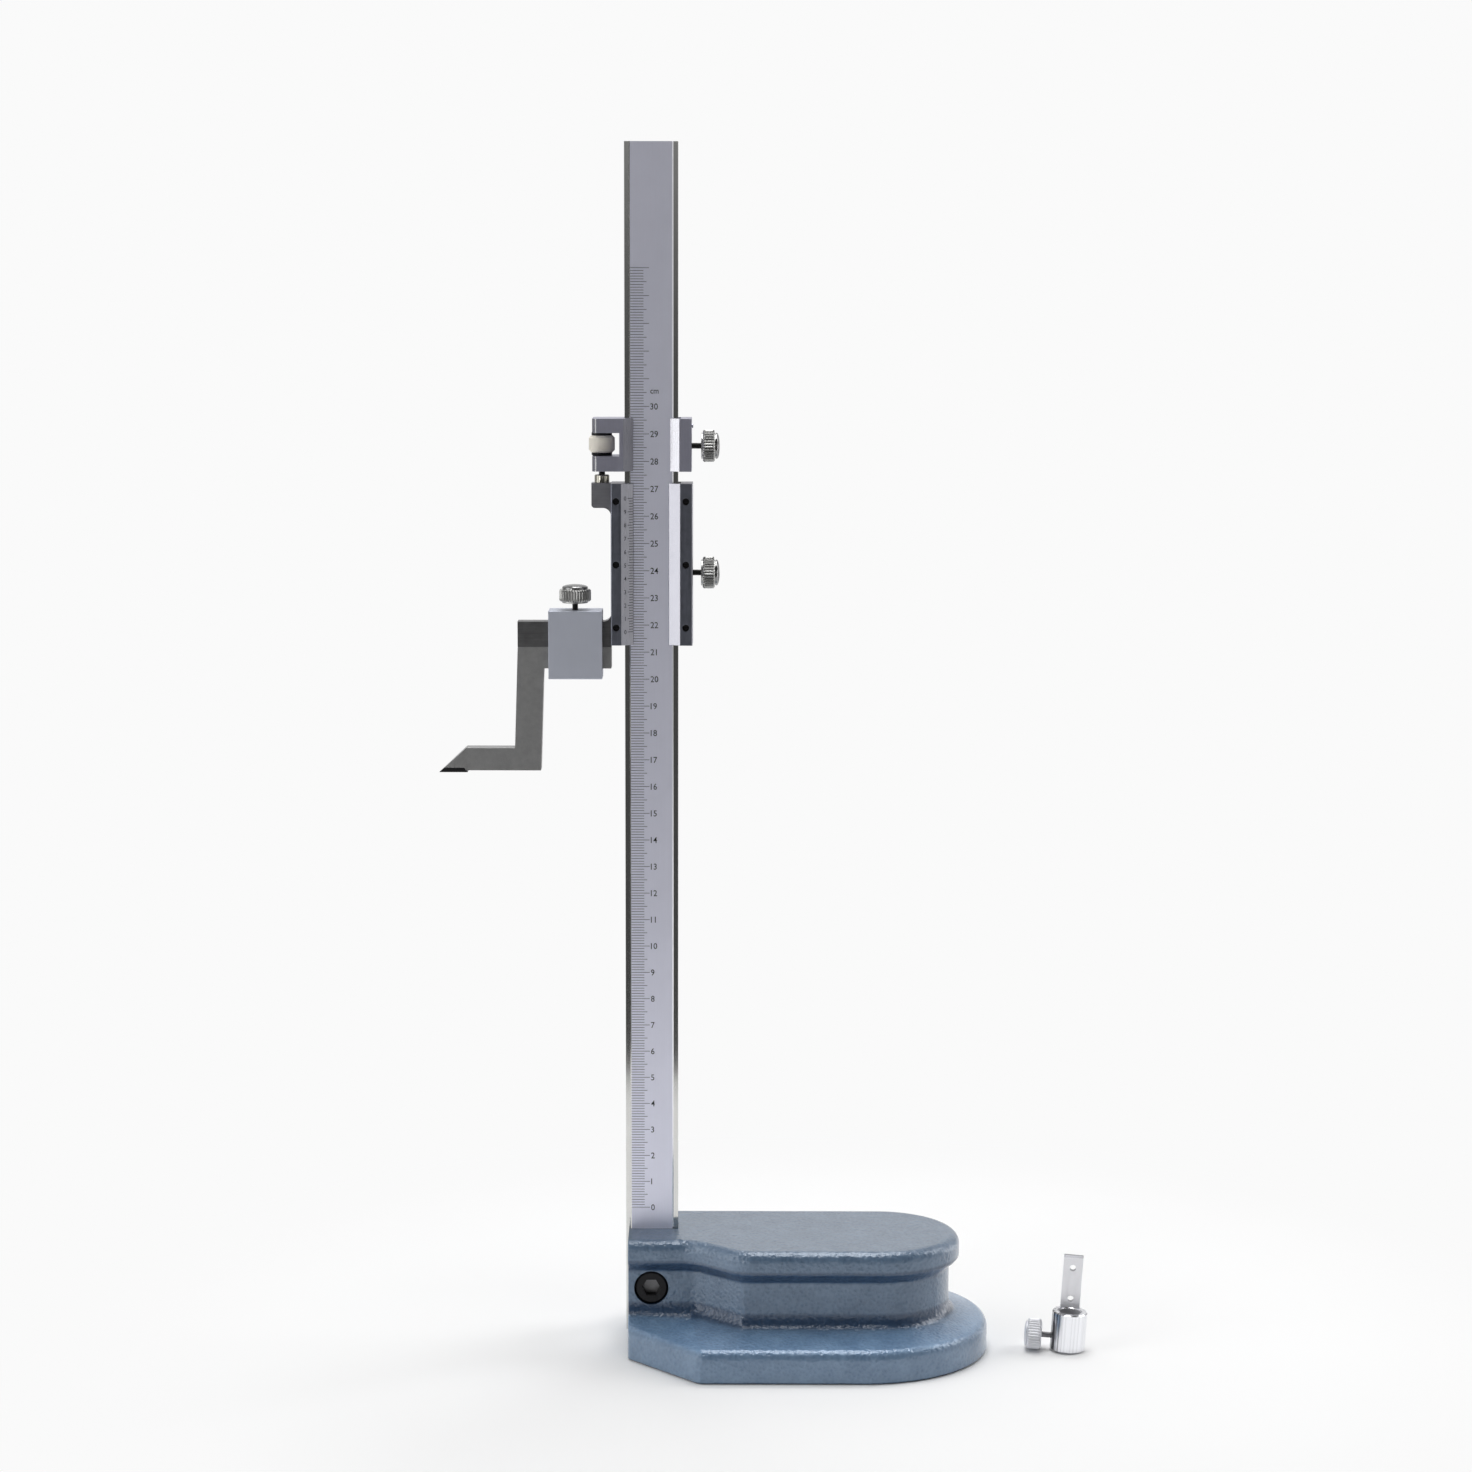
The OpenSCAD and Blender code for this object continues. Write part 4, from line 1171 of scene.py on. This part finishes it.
    def casting(self, material: bpy.types.Material) -> bpy.types.Object:
        """The casting with its slot, screw bore and relieved foot.

        Args:
            material: The enamel.

        Returns:
            The casting's object.
        """
        rings = self.rings()
        casting = make_object("base_casting", rings.reshape(-1, 3), closed_skin(*rings.shape[:2]), material)
        slot = boxes(np.array([[-self.left - self.over, -self.slot_half_width, self.slot_floor]]),
                     np.array([[self.slot_right, self.slot_half_width, self.height + self.over]]))
        along_y = turned((0, 0, self.screw_up), -90, "X")
        bore = drum(self.bore_d / 2, -(self.neck_front + self.over), self.bore_floor, self.bore_steps)
        hole = drum(self.shank_hole_d / 2, self.bore_floor - self.over, self.shank_hole_end, self.hole_steps)
        inside = self.outline(self.flange, self.relief_rim)
        inside[:, 0] = np.maximum(inside[:, 0], self.relief_left)
        relief = np.concatenate([np.column_stack([inside, np.full(len(inside), z)])
                                 for z in (-self.over, self.relief_depth)])
        cutters = [make_object("slot_cut", *slot, material), make_object("bore_cut", *bore, material, along_y),
                   make_object("hole_cut", *hole, material, along_y),
                   make_object("relief_cut", relief, closed_skin(2, len(inside)), material)]
        carved(casting, cutters, smooth_below=40.0)
        weigh_normals(casting)
        return casting

    def build(self, nodes: dict[str, bpy.types.Object], finishes: Finishes) -> None:
        """Builds the casting and dresses the clamp screw.

        Args:
            nodes: CAD nodes by name.
            finishes: The finishes.
        """
        stand_in(self.casting(finishes.enamel), "base", "base")
        screw = dress(nodes, "base_cap_screw", finishes.black, finishes.socket, ease=0.15)
        # The socket's floor gets a painted reflection.
        mark_faces(screw, 1, lambda centre, normal: (normal[:, 1] < -FACING) & (
            np.hypot(centre[:, 0], centre[:, 2] - self.screw_up) < self.socket_r)
            & (centre[:, 1] > self.bore_floor - self.head_h + self.socket_in))


# ---------------------------------------------------------------- marks


@dataclass
class MarkedFace:
    """A flat face that carries graduations and figures.

    A mark lies at u along the face's width and at height z. The face's point at (u, z) is origin
    plus u times across, and its outward direction is normal.
    """

    origin: tuple[float, float]
    across: tuple[float, float]
    normal: tuple[float, float]
    proud: float = 0.02
    sunk: float = 0.03
    bolder: float = 0.007
    cap_share: float = 0.7

    @property
    def matrix(self) -> Matrix:
        """Takes (u, z, out) to the object's own place."""
        return Matrix(((self.across[0], 0, self.normal[0], self.origin[0]),
                       (self.across[1], 0, self.normal[1], self.origin[1]),
                       (0, 1, 0, 0), (0, 0, 0, 1)))

    def lines(self, name: str, heights: np.ndarray, start: np.ndarray, end: np.ndarray, width: float,
              material: bpy.types.Material) -> bpy.types.Object:
        """Graduation lines, each a thin bar let into the face.

        Args:
            name: The object's name.
            heights: Height of each line.
            start: Where each line starts across the face.
            end: Where each line ends.
            width: Width of the lines.
            material: The paint in them.

        Returns:
            One object with all the lines.
        """
        count = len(heights)
        low = np.column_stack([start, heights - width / 2, np.full(count, -self.sunk)])
        high = np.column_stack([end, heights + width / 2, np.full(count, self.proud)])
        return make_object(name, *boxes(low, high), material, self.matrix)

    def figures(self, name: str, words: Sequence[str], places: Sequence[tuple[float, float]], tall: float,
                narrow: float, centred: bool, material: bpy.types.Material) -> bpy.types.Object:
        """Figures let into the face.

        Args:
            name: The object's name.
            words: The text of each figure.
            places: Left edge or middle, and height of the middle, of each.
            tall: Height of a digit.
            narrow: Width of the type as a share of its normal width.
            centred: Whether a place is the figure's middle instead of its left edge.
            material: The paint in them.

        Returns:
            One object with all the figures.
        """
        points: list[np.ndarray] = []
        faces: list[list[int]] = []
        done = 0
        for word, (u, z) in zip(words, places):
            curve = bpy.data.curves.new("figure", "FONT")
            curve.body = word
            curve.extrude = (self.proud + self.sunk) / 2
            curve.offset = self.bolder
            curve.resolution_u = 3
            text = linked("figure", curve)
            mesh = baked(text)
            flat = rows_of(mesh.vertices, "co")
            low, high = flat.min(0), flat.max(0)
            scale = tall / self.cap_share
            anchor = (low[0] + high[0]) / 2 if centred else low[0]
            flat[:, 0] = (flat[:, 0] - anchor) * scale * narrow + u
            flat[:, 1] = (flat[:, 1] - self.cap_share / 2) * scale + z
            flat[:, 2] = flat[:, 2] + (self.proud - self.sunk) / 2
            points.append(flat)
            faces += [[done + v for v in polygon.vertices] for polygon in mesh.polygons]
            done += len(flat)
            bpy.data.objects.remove(text)
            bpy.data.curves.remove(curve)
            bpy.data.meshes.remove(mesh)
        return make_object(name, np.concatenate(points), faces, material, self.matrix)


# ---------------------------------------------------------------- beam


@dataclass
class Beam:
    """The ground beam with its millimetre scale."""

    zero: float = 52.5
    length: int = 350
    numbered: int = 30
    face_y: float = -4.0
    land_in: float = 0.03
    chamfer_slack: float = 0.2
    line_start: float = -7.6
    line_end: float = -2.8
    half_end: float = -1.7
    whole_end: float = -0.8
    line_w: float = 0.19
    figure_left: float = -0.35
    figure_h: float = 2.25
    figure_narrow: float = 0.92
    unit_h: float = 2.025
    unit_up: float = 305.7

    def build(self, nodes: dict[str, bpy.types.Object], finishes: Finishes) -> None:
        """Dresses the beam and lets its scale in.

        Args:
            nodes: CAD nodes by name.
            finishes: The finishes.
        """
        bar = dress(nodes, "beam", finishes.land, finishes.rebate, finishes.edge, finishes.back)
        inner = -self.face_y - self.land_in
        # The back face gets painted shade.
        mark_faces(bar, 3, lambda centre, normal: normal[:, 1] > 0.5)
        mark_faces(bar, 1, lambda centre, normal: abs(centre[:, 1]) < inner)
        mark_faces(bar, 2, lambda centre, normal: (abs(centre[:, 1]) < inner) & (
            abs(normal[:, 0] - abs(normal[:, 1])) < self.chamfer_slack))
        face = MarkedFace((0.0, self.face_y), (1.0, 0.0), (0.0, -1.0))
        marks = np.arange(self.length + 1)
        end = np.where(marks % 10 == 0, self.whole_end, np.where(marks % 5 == 0, self.half_end, self.line_end))
        start = np.full(len(marks), self.line_start)
        lines = face.lines("beam_scale_lines", self.zero + marks, start, end, self.line_w, finishes.paint)
        stand_in(lines, "base")
        numbers = range(self.numbered + 1)
        for name, words, ups, tall in (
                ("beam_scale_figures", [str(n) for n in numbers], [10.0 * n for n in numbers], self.figure_h),
                ("beam_scale_unit", ["cm"], [self.unit_up], self.unit_h)):
            places = [(self.figure_left, self.zero + up) for up in ups]
            stand_in(face.figures(name, words, places, tall, self.figure_narrow, False, finishes.paint), "base")


# ---------------------------------------------------------------- thumb screws


@dataclass
class ThumbScrew:
    """A knurled thumb screw, built along Z with its head up, from the piece's own origin.

    The real grips have nearly 50 flutes; they are drawn coarser so that they show.
    """

    node: str
    body: str
    place: Matrix
    reach: float
    free: float
    grip_d: float = 11.7
    grip_h: float = 4.4
    collar_h: float = 0.6
    dome_h: float = 1.8
    collar_d: float = 9.6
    collar_edge: float = 0.15
    dome_d: float = 9.5
    dome_edge: float = 0.12
    dome_steps: int = 14
    stem_d: float = 2.3
    stem_in: float = 0.1
    chamfer: float = 0.45
    groove_h: float = 0.25
    groove_in: float = 0.4
    wall_share: float = 0.3
    flutes: int = 36
    flute_depth: float = 0.3
    flute_steps: int = 8
    pitch: float = 0.45
    thread_depth: float = 0.22

    def head(self, material: bpy.types.Material, polished: bpy.types.Material) -> bpy.types.Object:
        """The head: collar, fluted grip, groove and polished dome.

        A flute presses the grip in by its depth times the square root of half of one minus the
        cosine of the number of flutes times the angle.

        Args:
            material: The grip's plate.
            polished: The dome's plate.

        Returns:
            The head's object.
        """
        low = self.free + self.collar_h
        top = low + self.grip_h
        dome_low = top + self.groove_h
        bulge = dome_low + (self.dome_h - self.groove_h) * self.wall_share
        crown = top + self.dome_h
        r, collar, dome = self.grip_d / 2, self.collar_d / 2, self.dome_d / 2
        angle = np.radians(np.linspace(0, 90, self.dome_steps + 1))
        under = lengthen([(0, self.free), (collar - self.collar_edge, self.free),
                          (collar, self.free + self.collar_edge), (collar, low)], longest=1.0)
        fluted = lengthen([(r - self.chamfer, low), (r, low + self.chamfer), (r, top - self.chamfer),
                           (r - self.chamfer, top)], longest=0.9)
        cap = lengthen([(dome - self.groove_in, top), (dome - self.groove_in, dome_low),
                        (dome - self.dome_edge, dome_low), (dome, dome_low + self.dome_edge)]
                       + [(dome * math.cos(a), bulge + (crown - bulge) * math.sin(a)) for a in angle], longest=0.6)
        steps = self.flutes * self.flute_steps
        theta = np.arange(steps) * 2 * np.pi / steps
        wave = np.sqrt((1 - np.cos(self.flutes * theta)) / 2)
        mask = np.concatenate([np.zeros(len(under)), np.ones(len(fluted)), np.zeros(len(cap))])
        dents = self.flute_depth * mask[:, None] * wave[None, :]
        points, quads = revolve(np.concatenate([under, fluted, cap]), steps, dents)
        made = make_object(self.node + "_head", points, quads, material, self.place, smooth_below=40.0)
        mark_valleys(made, self.place, r - self.flute_depth, r, low + self.chamfer / 2, top - self.chamfer / 2)
        made.data.materials.append(polished)
        mark_faces(made, 1, lambda centre, normal: centre[:, 2] > dome_low - self.groove_h / 4, self.place)
        return made

    def build(self, plate: bpy.types.Material, polished: bpy.types.Material, steel: bpy.types.Material) -> None:
        """Builds head and threaded stem in place of the CAD node.

        Args:
            plate: Finish of the grip.
            polished: Finish of the dome.
            steel: Finish of the stem.
        """
        stand_in(self.head(plate, polished), self.body, self.node)
        stem = threaded(self.stem_d / 2, -self.reach, self.free + self.stem_in, self.pitch, self.thread_depth)
        stand_in(make_object(self.node + "_stem", *stem, steel, self.place, smooth_below=80.0), self.body)


# ---------------------------------------------------------------- slider


@dataclass
class Slider:
    """The slider with its plates, vernier scale, lock screw and feed screw."""

    left: float = -14.8
    strip_w: float = 3.8
    front: float = -6.75
    lip_x: float = -6.62
    lip_y: float = -4.3
    vernier_zero: float = 270.1
    divisions: int = 50
    division: float = 0.98
    short_line: float = 1.75
    long_line: float = 2.35
    line_in: float = 0.05
    line_w: float = 0.22
    figure_h: float = 1.55
    figure_narrow: float = 0.9
    figure_back: float = 3.35
    feed_x: float = -18.175
    feed_low: float = 317.5
    feed_top: float = 343.55
    feed_d: float = 2.5
    feed_pitch: float = 0.45
    feed_depth: float = 0.24
    arm_top: float = 274.0
    lock_x: float = 15.1
    lock_z: float = 291.55
    lock_reach: float = 4.45
    lock_len: float = 7.5

    def build(self, nodes: dict[str, bpy.types.Object], finishes: Finishes) -> None:
        """Dresses the slider and adds its marks and screws.

        Args:
            nodes: CAD nodes by name.
            finishes: The finishes.
        """
        body = dress(nodes, "slider_frame", finishes.frame, finishes.arm, ease=0.2)
        mark_faces(body, 1, lambda centre, normal: (centre[:, 0] < self.left) & (centre[:, 2] < self.arm_top))
        for name in ("vernier_plate", "guide_plate"):
            mark_bevels(dress(nodes, name, finishes.dark_face, finishes.bevel, finishes.guide_bevel, ease=0.1), 1)
        dress(nodes, "plate_screws", finishes.black)
        dress(nodes, "slider_gib", finishes.bronze)
        dress(nodes, "feed_screw_collar", finishes.turned, ease=0.12)
        rod = threaded(self.feed_d / 2, self.feed_low, self.feed_top, self.feed_pitch, self.feed_depth)
        place = Matrix.Translation((self.feed_x, 0, 0))
        screw = make_object("feed_screw_thread", *rod, finishes.thread, place, smooth_below=80.0)
        stand_in(screw, "slider", "feed_screw")
        ThumbScrew("slider_lock_screw", "slider_lock", turned((self.lock_x, 0, self.lock_z), 90, "Y"),
                   self.lock_reach, self.lock_len - self.lock_reach).build(
            finishes.knurl, finishes.dome, finishes.thread)
        self.vernier(finishes.paint)

    def vernier(self, material: bpy.types.Material) -> None:
        """Lets the vernier's lines and figures into the bevel of the left plate.

        Args:
            material: The paint in them.
        """
        start = np.array([self.left + self.strip_w, self.front])
        end = np.array([self.lip_x, self.lip_y])
        across = (end - start) / np.linalg.norm(end - start)
        face = MarkedFace(tuple(end), tuple(across), (across[1], -across[0]), proud=0.015)
        marks = np.arange(self.divisions + 1)
        length = np.where(marks % 5 == 0, self.long_line, self.short_line)
        lines = face.lines("vernier_lines", self.vernier_zero + self.division * marks, -length,
                           np.full(len(marks), -self.line_in), self.line_w, material)
        stand_in(lines, "slider")
        tenths = range(11)
        places = [(-self.figure_back, self.vernier_zero + self.division * 5 * n) for n in tenths]
        stand_in(face.figures("vernier_figures", [str(n % 10) for n in tenths], places, self.figure_h,
                              self.figure_narrow, True, material), "slider")


# ---------------------------------------------------------------- carriage and fine feed


@dataclass
class Carriage:
    """The fine-feed carriage with its lock screw and knurled nut."""

    lock_x: float = 14.68
    lock_z: float = 338.0
    lock_reach: float = 4.03
    lock_len: float = 7.5
    nut_x: float = -18.175
    nut_low: float = 334.55
    hub_h: float = 1.05
    hub_edge: float = 0.1
    rim_h: float = 6.2
    hub_d: float = 7.5
    rim_d: float = 9.6
    chamfer: float = 0.9
    bore_d: float = 2.6
    knurls: int = 44
    knurl_steps: int = 8
    knurl_depth: float = 0.16
    lit_edge: tuple[float, float] = (-0.33, -0.03)
    shaded_edge: tuple[float, float] = (-0.98, -0.33)

    def nut(self, material: bpy.types.Material, dark: bpy.types.Material) -> bpy.types.Object:
        """The fine-feed nut with its diamond knurl.

        Two families of helical grooves cross on the rim. The height is the lesser of two triangle
        waves, one of the angle plus the height and one of the angle less the height.

        Args:
            material: Finish of the knurled rim.
            dark: Finish of the hubs and the bore, black as painted shade.

        Returns:
            The nut's object.
        """
        hub, rim, bore, edge = self.hub_d / 2, self.rim_d / 2, self.bore_d / 2, self.hub_edge
        low, high = self.nut_low + self.hub_h, self.nut_low + self.hub_h + self.rim_h
        end = high + self.hub_h
        under = np.array([(bore, self.nut_low), (hub - edge, self.nut_low), (hub, self.nut_low + edge),
                          (hub, low), (rim - self.chamfer, low)])
        wall = lengthen([(rim, low + self.chamfer), (rim, high - self.chamfer)], longest=0.1)
        over = np.array([(rim - self.chamfer, high), (hub, high), (hub, end - edge), (hub - edge, end),
                         (bore, end), (bore, self.nut_low)])
        steps = self.knurls * self.knurl_steps
        turn = self.knurls * np.arange(steps)[None, :] / steps
        rise = wall[:, 1:] / (math.pi * self.rim_d / self.knurls)
        wave = np.minimum(np.abs(2 * ((turn + rise) % 1.0) - 1), np.abs(2 * ((turn - rise) % 1.0) - 1))
        dents = np.concatenate([np.zeros((len(under), steps)), self.knurl_depth * (1 - wave),
                                np.zeros((len(over), steps))])
        points, quads = revolve(np.concatenate([under, wall, over]), steps, dents)
        place = Matrix.Translation((self.nut_x, 0, 0))
        made = make_object("fine_feed_nut_knurled", points, quads, material, place, smooth_below=50.0)
        # The hubs and the bore get black oxide, a painted shade.
        made.data.materials.append(dark)
        mark_faces(made, 1, lambda centre, normal: np.hypot(centre[:, 0], centre[:, 1]) < hub + edge / 2, place)
        mark_valleys(made, place, rim - self.knurl_depth, rim, low + self.chamfer, high - self.chamfer)
        return made

    def build(self, nodes: dict[str, bpy.types.Object], finishes: Finishes) -> None:
        """Dresses the carriage and adds its nut and lock screw.

        Args:
            nodes: CAD nodes by name.
            finishes: The finishes.
        """
        body = dress(nodes, "carriage", finishes.carriage, finishes.dull_bevel, finishes.lip, finishes.glint,
                     finishes.turned_away, ease=0.12)
        # Painted shade on the bevel that points right, painted highlight on the one that points left.
        mark_bevels(body, 1)
        # The rounded left edge: painted highlight where the faces turn a little to the left, painted shade where
        # they turn further.
        for index, (least, most) in ((3, self.lit_edge), (4, self.shaded_edge)):
            mark_faces(body, index, lambda centre, normal: (centre[:, 0] < self.lock_reach - self.lock_x) & (
                normal[:, 0] > least) & (normal[:, 0] < most) & (normal[:, 1] < 0))
        dress(nodes, "carriage_gib", finishes.bronze)
        dress(nodes, "carriage_gib_pin", finishes.carriage, ease=0.15)
        stand_in(self.nut(finishes.cream_knurl, finishes.black), "feed_nut", "fine_feed_nut")
        ThumbScrew("carriage_lock_screw", "carriage_lock", turned((self.lock_x, 0, self.lock_z), 90, "Y"),
                   self.lock_reach, self.lock_len - self.lock_reach).build(
            finishes.knurl, finishes.dome, finishes.thread)


# ---------------------------------------------------------------- clamp box and scriber


@dataclass
class ScriberClamp:
    """The square box that clamps the cranked scriber under the slider's arm."""

    screw_x: float = -28.175
    box_top: float = 277.75
    reach: float = 4.1
    free: float = 2.55

    def build(self, nodes: dict[str, bpy.types.Object], finishes: Finishes) -> None:
        """Dresses box and scriber and adds the clamp screw.

        Args:
            nodes: CAD nodes by name.
            finishes: The finishes.
        """
        dress(nodes, "clamp_box", finishes.box, ease=0.15)
        dress(nodes, "scriber", finishes.scriber, ease=0.12)
        dress(nodes, "carbide_tip", finishes.carbide, ease=0.05)
        place = Matrix.Translation((self.screw_x, 0, self.box_top))
        ThumbScrew("clamp_box_screw", "box_screw", place, self.reach, self.free).build(
            finishes.knurl, finishes.dome, finishes.thread)


# ---------------------------------------------------------------- loose holder


@dataclass
class Holder:
    """The loose indicator holder that stands beside the gauge, leaning on its thumb screw."""

    right: float = 156.0
    front: float = 11.8
    lean: float = 3.5
    turn: float = 5.0
    sleeve_r: float = 6.55
    bore_r: float = 4.05
    bore_slack: float = 0.1
    chamfer: float = 0.4
    free: float = 3.4
    grip_d: float = 11.5
    grip_h: float = 5.0
    collar_h: float = 0.3
    dome_h: float = 1.2
    grip_chamfer: float = 0.45

    @property
    def place(self) -> Matrix:
        """Where the holder's own upright frame stands and how it leans."""
        foot = self.sleeve_r - self.chamfer
        stands = (self.right, -self.front, foot * math.sin(math.radians(self.lean)))
        return turned(stands, -self.turn, "Z") @ Matrix.Rotation(math.radians(self.lean), 4, "Y")

    @property
    def screw_up(self) -> float:
        """Height of the screw at which the rim of its grip touches the ground."""
        arm = self.sleeve_r - self.chamfer + self.sleeve_r + self.free + self.collar_h + self.grip_chamfer
        return self.grip_d / 2 - arm * math.tan(math.radians(self.lean))

    def build(self, nodes: dict[str, bpy.types.Object], finishes: Finishes) -> None:
        """Dresses the holder and adds its thumb screw.

        Args:
            nodes: CAD nodes by name.
            finishes: The finishes.
        """
        sleeve = dress(nodes, "holder_sleeve", finishes.chrome, finishes.reamed)
        in_bore = self.bore_r + self.bore_slack
        mark_faces(sleeve, 1, lambda centre, normal: np.hypot(centre[:, 0], centre[:, 1]) < in_bore, self.place)
        blade = dress(nodes, "holder_blade", finishes.satin_plate, finishes.blade_edge, ease=0.15)
        # The blade's upward faces get painted shade.
        mark_faces(blade, 1, lambda centre, normal: normal[:, 2] > LEANING)
        place = (self.place @ Matrix.Translation((-self.sleeve_r, 0, self.screw_up))
                 @ Matrix.Rotation(math.radians(-90), 4, "Y"))
        ThumbScrew("holder_screw", "holder_screw", place, self.sleeve_r - self.bore_r, self.free,
                   grip_d=self.grip_d, grip_h=self.grip_h, collar_h=self.collar_h,
                   dome_h=self.dome_h).build(finishes.nickel, finishes.nickel, finishes.pale_thread)


# ---------------------------------------------------------------- studio


@dataclass(frozen=True)
class Lamp:
    """A rectangular softbox that faces a point, in metres and watts."""

    name: str
    place: tuple[float, float, float]
    aim: tuple[float, float, float]
    size: tuple[float, float]
    power: float

    def build(self) -> None:
        """Makes the lamp."""
        data = bpy.data.lights.new(self.name, "AREA")
        data.shape = "RECTANGLE"
        data.size, data.size_y = self.size
        data.energy = self.power
        lamp = linked(self.name, data)
        lamp.location = self.place
        lamp.rotation_mode = "QUATERNION"
        lamp.rotation_quaternion = (Vector(self.aim) - Vector(self.place)).to_track_quat("-Z", "Y")


@dataclass(frozen=True)
class Room:
    """What the gauge's metal mirrors: a room with a pale backdrop, and white for the camera.

    Seen from the object, the room is mid grey at the level of the camera and dark above it,
    pale to the right and behind, and dark with two pale panels to the left. A name that ends in
    `_x`, `_y` or `_z` holds the part of the view's direction at which one brightness starts to
    turn into the next and the one at which the turn is over; the other names hold brightness.
    """

    beyond_table: float = 0.09
    horizon: float = 0.6
    ceiling: float = 0.04
    left_wall: float = 0.12
    left_bands_y: tuple[tuple[float, float, float], ...] = (
        (0.04, 0.07, 1.0), (0.24, 0.27, 0.1), (0.42, 0.45, 0.9), (0.64, 0.68, 0.08))
    right_wall: float = 0.95
    right_front: float = 0.8
    right_corner: float = 0.3
    backdrop: float = 0.95
    back_ceiling: float = 0.3
    table_edge_z: tuple[float, float] = (-0.05, 0.12)
    front_up_z: tuple[float, float] = (0.12, 0.36)
    front_left_x: tuple[float, float] = (-0.5, -0.95)
    front_right_x: tuple[float, float] = (0.55, 0.8)
    front_right_z: tuple[float, float] = (0.2, 0.5)
    back_up_z: tuple[float, float] = (0.55, 0.8)
    back_left_x: tuple[float, float] = (-0.5, -0.7)
    back_corner_x: tuple[float, float] = (0.45, 0.65)
    back_right_x: tuple[float, float] = (0.9, 0.97)
    back_right_z: tuple[float, float] = (0.3, 0.6)
    front_to_back_y: tuple[float, float] = (-0.3, 0.05)

    def build(self) -> None:
        """Makes the world."""
        world = bpy.data.worlds.new("studio")
        world.use_nodes = True
        nodes = Nodes(world.node_tree, "Generated")
        x, y, z = (nodes.add("SeparateXYZ", axis, {"Vector": nodes.place}) for axis in "XYZ")
        front = nodes.ease(z, self.table_edge_z, self.beyond_table, self.horizon)
        front = nodes.ease(z, self.front_up_z, front, self.ceiling)
        front = nodes.ease(x, self.front_left_x, front, self.left_wall)
        right = nodes.ease(z, self.front_right_z, self.right_front, self.ceiling)
        front = nodes.ease(x, self.front_right_x, front, right)
        back = nodes.ease(z, self.back_up_z, self.backdrop, self.back_ceiling)
        left: Any = self.left_wall
        for start, end, value in self.left_bands_y:
            left = nodes.ease(y, (start, end), left, value)
        back = nodes.ease(x, self.back_left_x, back, left)
        back = nodes.ease(x, self.back_corner_x, back, self.right_corner)
        right = nodes.ease(z, self.back_right_z, self.right_wall, self.ceiling)
        back = nodes.ease(x, self.back_right_x, back, right)
        lit = nodes.add("Background", "Background", {
            "Strength": nodes.ease(y, self.front_to_back_y, front, back)})
        plain = nodes.add("Background", "Background", {"Color": (PAGE_WHITE,) * 3 + (1.0,)})
        seen = nodes.both(nodes.add("LightPath", "Is Camera Ray"), lit, plain)
        nodes.add("OutputWorld", None, {"Surface": seen})
        bpy.context.scene.world = world


@dataclass
class Studio:
    """Camera, paper sweep, softboxes and room."""

    camera_mm: tuple[float, float, float] = (31.1, -1281.5, 413.23)
    pitch: float = 8.098
    roll: float = 0.1346
    lens: float = 85.6
    sweep_front: float = -430.0
    sweep_left: float = -480.0
    sweep_far: float = 3000.0
    sweep_z: float = -0.05
    lamps: tuple[Lamp, ...] = (
        Lamp("top_softbox", (0.06, 0.2, 1.5), (0.05, 0.05, 0.0), (0.65, 1.3), 13.0),
        Lamp("right_softbox", (1.1, 0.3, 0.95), (0.05, 0.0, 0.05), (0.6, 0.7), 4.8),
        Lamp("right_strip", (1.15, 0.65, 0.2), (0.05, 0.0, 0.05), (0.3, 0.4), 1.6),
        Lamp("left_softbox", (-1.2, -0.5, 0.7), (0.0, 0.0, 0.2), (0.9, 2.0), 9.4),
        Lamp("front_strip", (-0.75, -1.1, 0.2), (0.0, 0.0, 0.05), (0.2, 0.4), 1.4),
    )

    def camera(self) -> None:
        """Stands the camera where the photograph was taken from."""
        data = bpy.data.cameras.new("camera")
        data.lens = self.lens
        data.sensor_width = 36.0
        data.clip_start, data.clip_end = 0.05, 50.0
        eye = linked("camera", data)
        eye.location = Vector(self.camera_mm) * MM
        eye.rotation_mode = "QUATERNION"
        level = Euler((math.radians(90 - self.pitch), 0, 0)).to_quaternion()
        eye.rotation_quaternion = level @ Quaternion((0, 0, 1), math.radians(self.roll))
        bpy.context.scene.camera = eye

    def floor(self) -> None:
        """Lays the paper sweep."""
        points = np.array([(x, y, self.sweep_z) for x, y in (
            (self.sweep_left, self.sweep_front), (self.sweep_far, self.sweep_front),
            (self.sweep_far, self.sweep_far), (self.sweep_left, self.sweep_far))])
        sweep = make_object("paper_sweep", points, [[0, 1, 2, 3]], StudioFloor().material())
        if sweep.data.polygons[0].normal.z < 0:
            sweep.data.flip_normals()

    def build(self) -> None:
        """Sets up camera, sweep, room and lamps."""
        self.camera()
        self.floor()
        Room().build()
        for lamp in self.lamps:
            lamp.build()
        bpy.context.scene.view_settings.view_transform = "Standard"
        LOG.info("studio: camera, sweep, room and %d lamps", len(self.lamps))


def main() -> None:
    """Builds the gauge's sub-assemblies in order, then the studio."""
    logging.basicConfig(level=logging.INFO, format="%(name)s: %(message)s")
    finishes = Finishes()
    nodes = frame["nodes"]
    for part in (Base(), Beam(), Slider(), Carriage(), ScriberClamp(), Holder()):
        part.build(nodes, finishes)
    Studio().build()


if __name__ == "__main__":
    main()
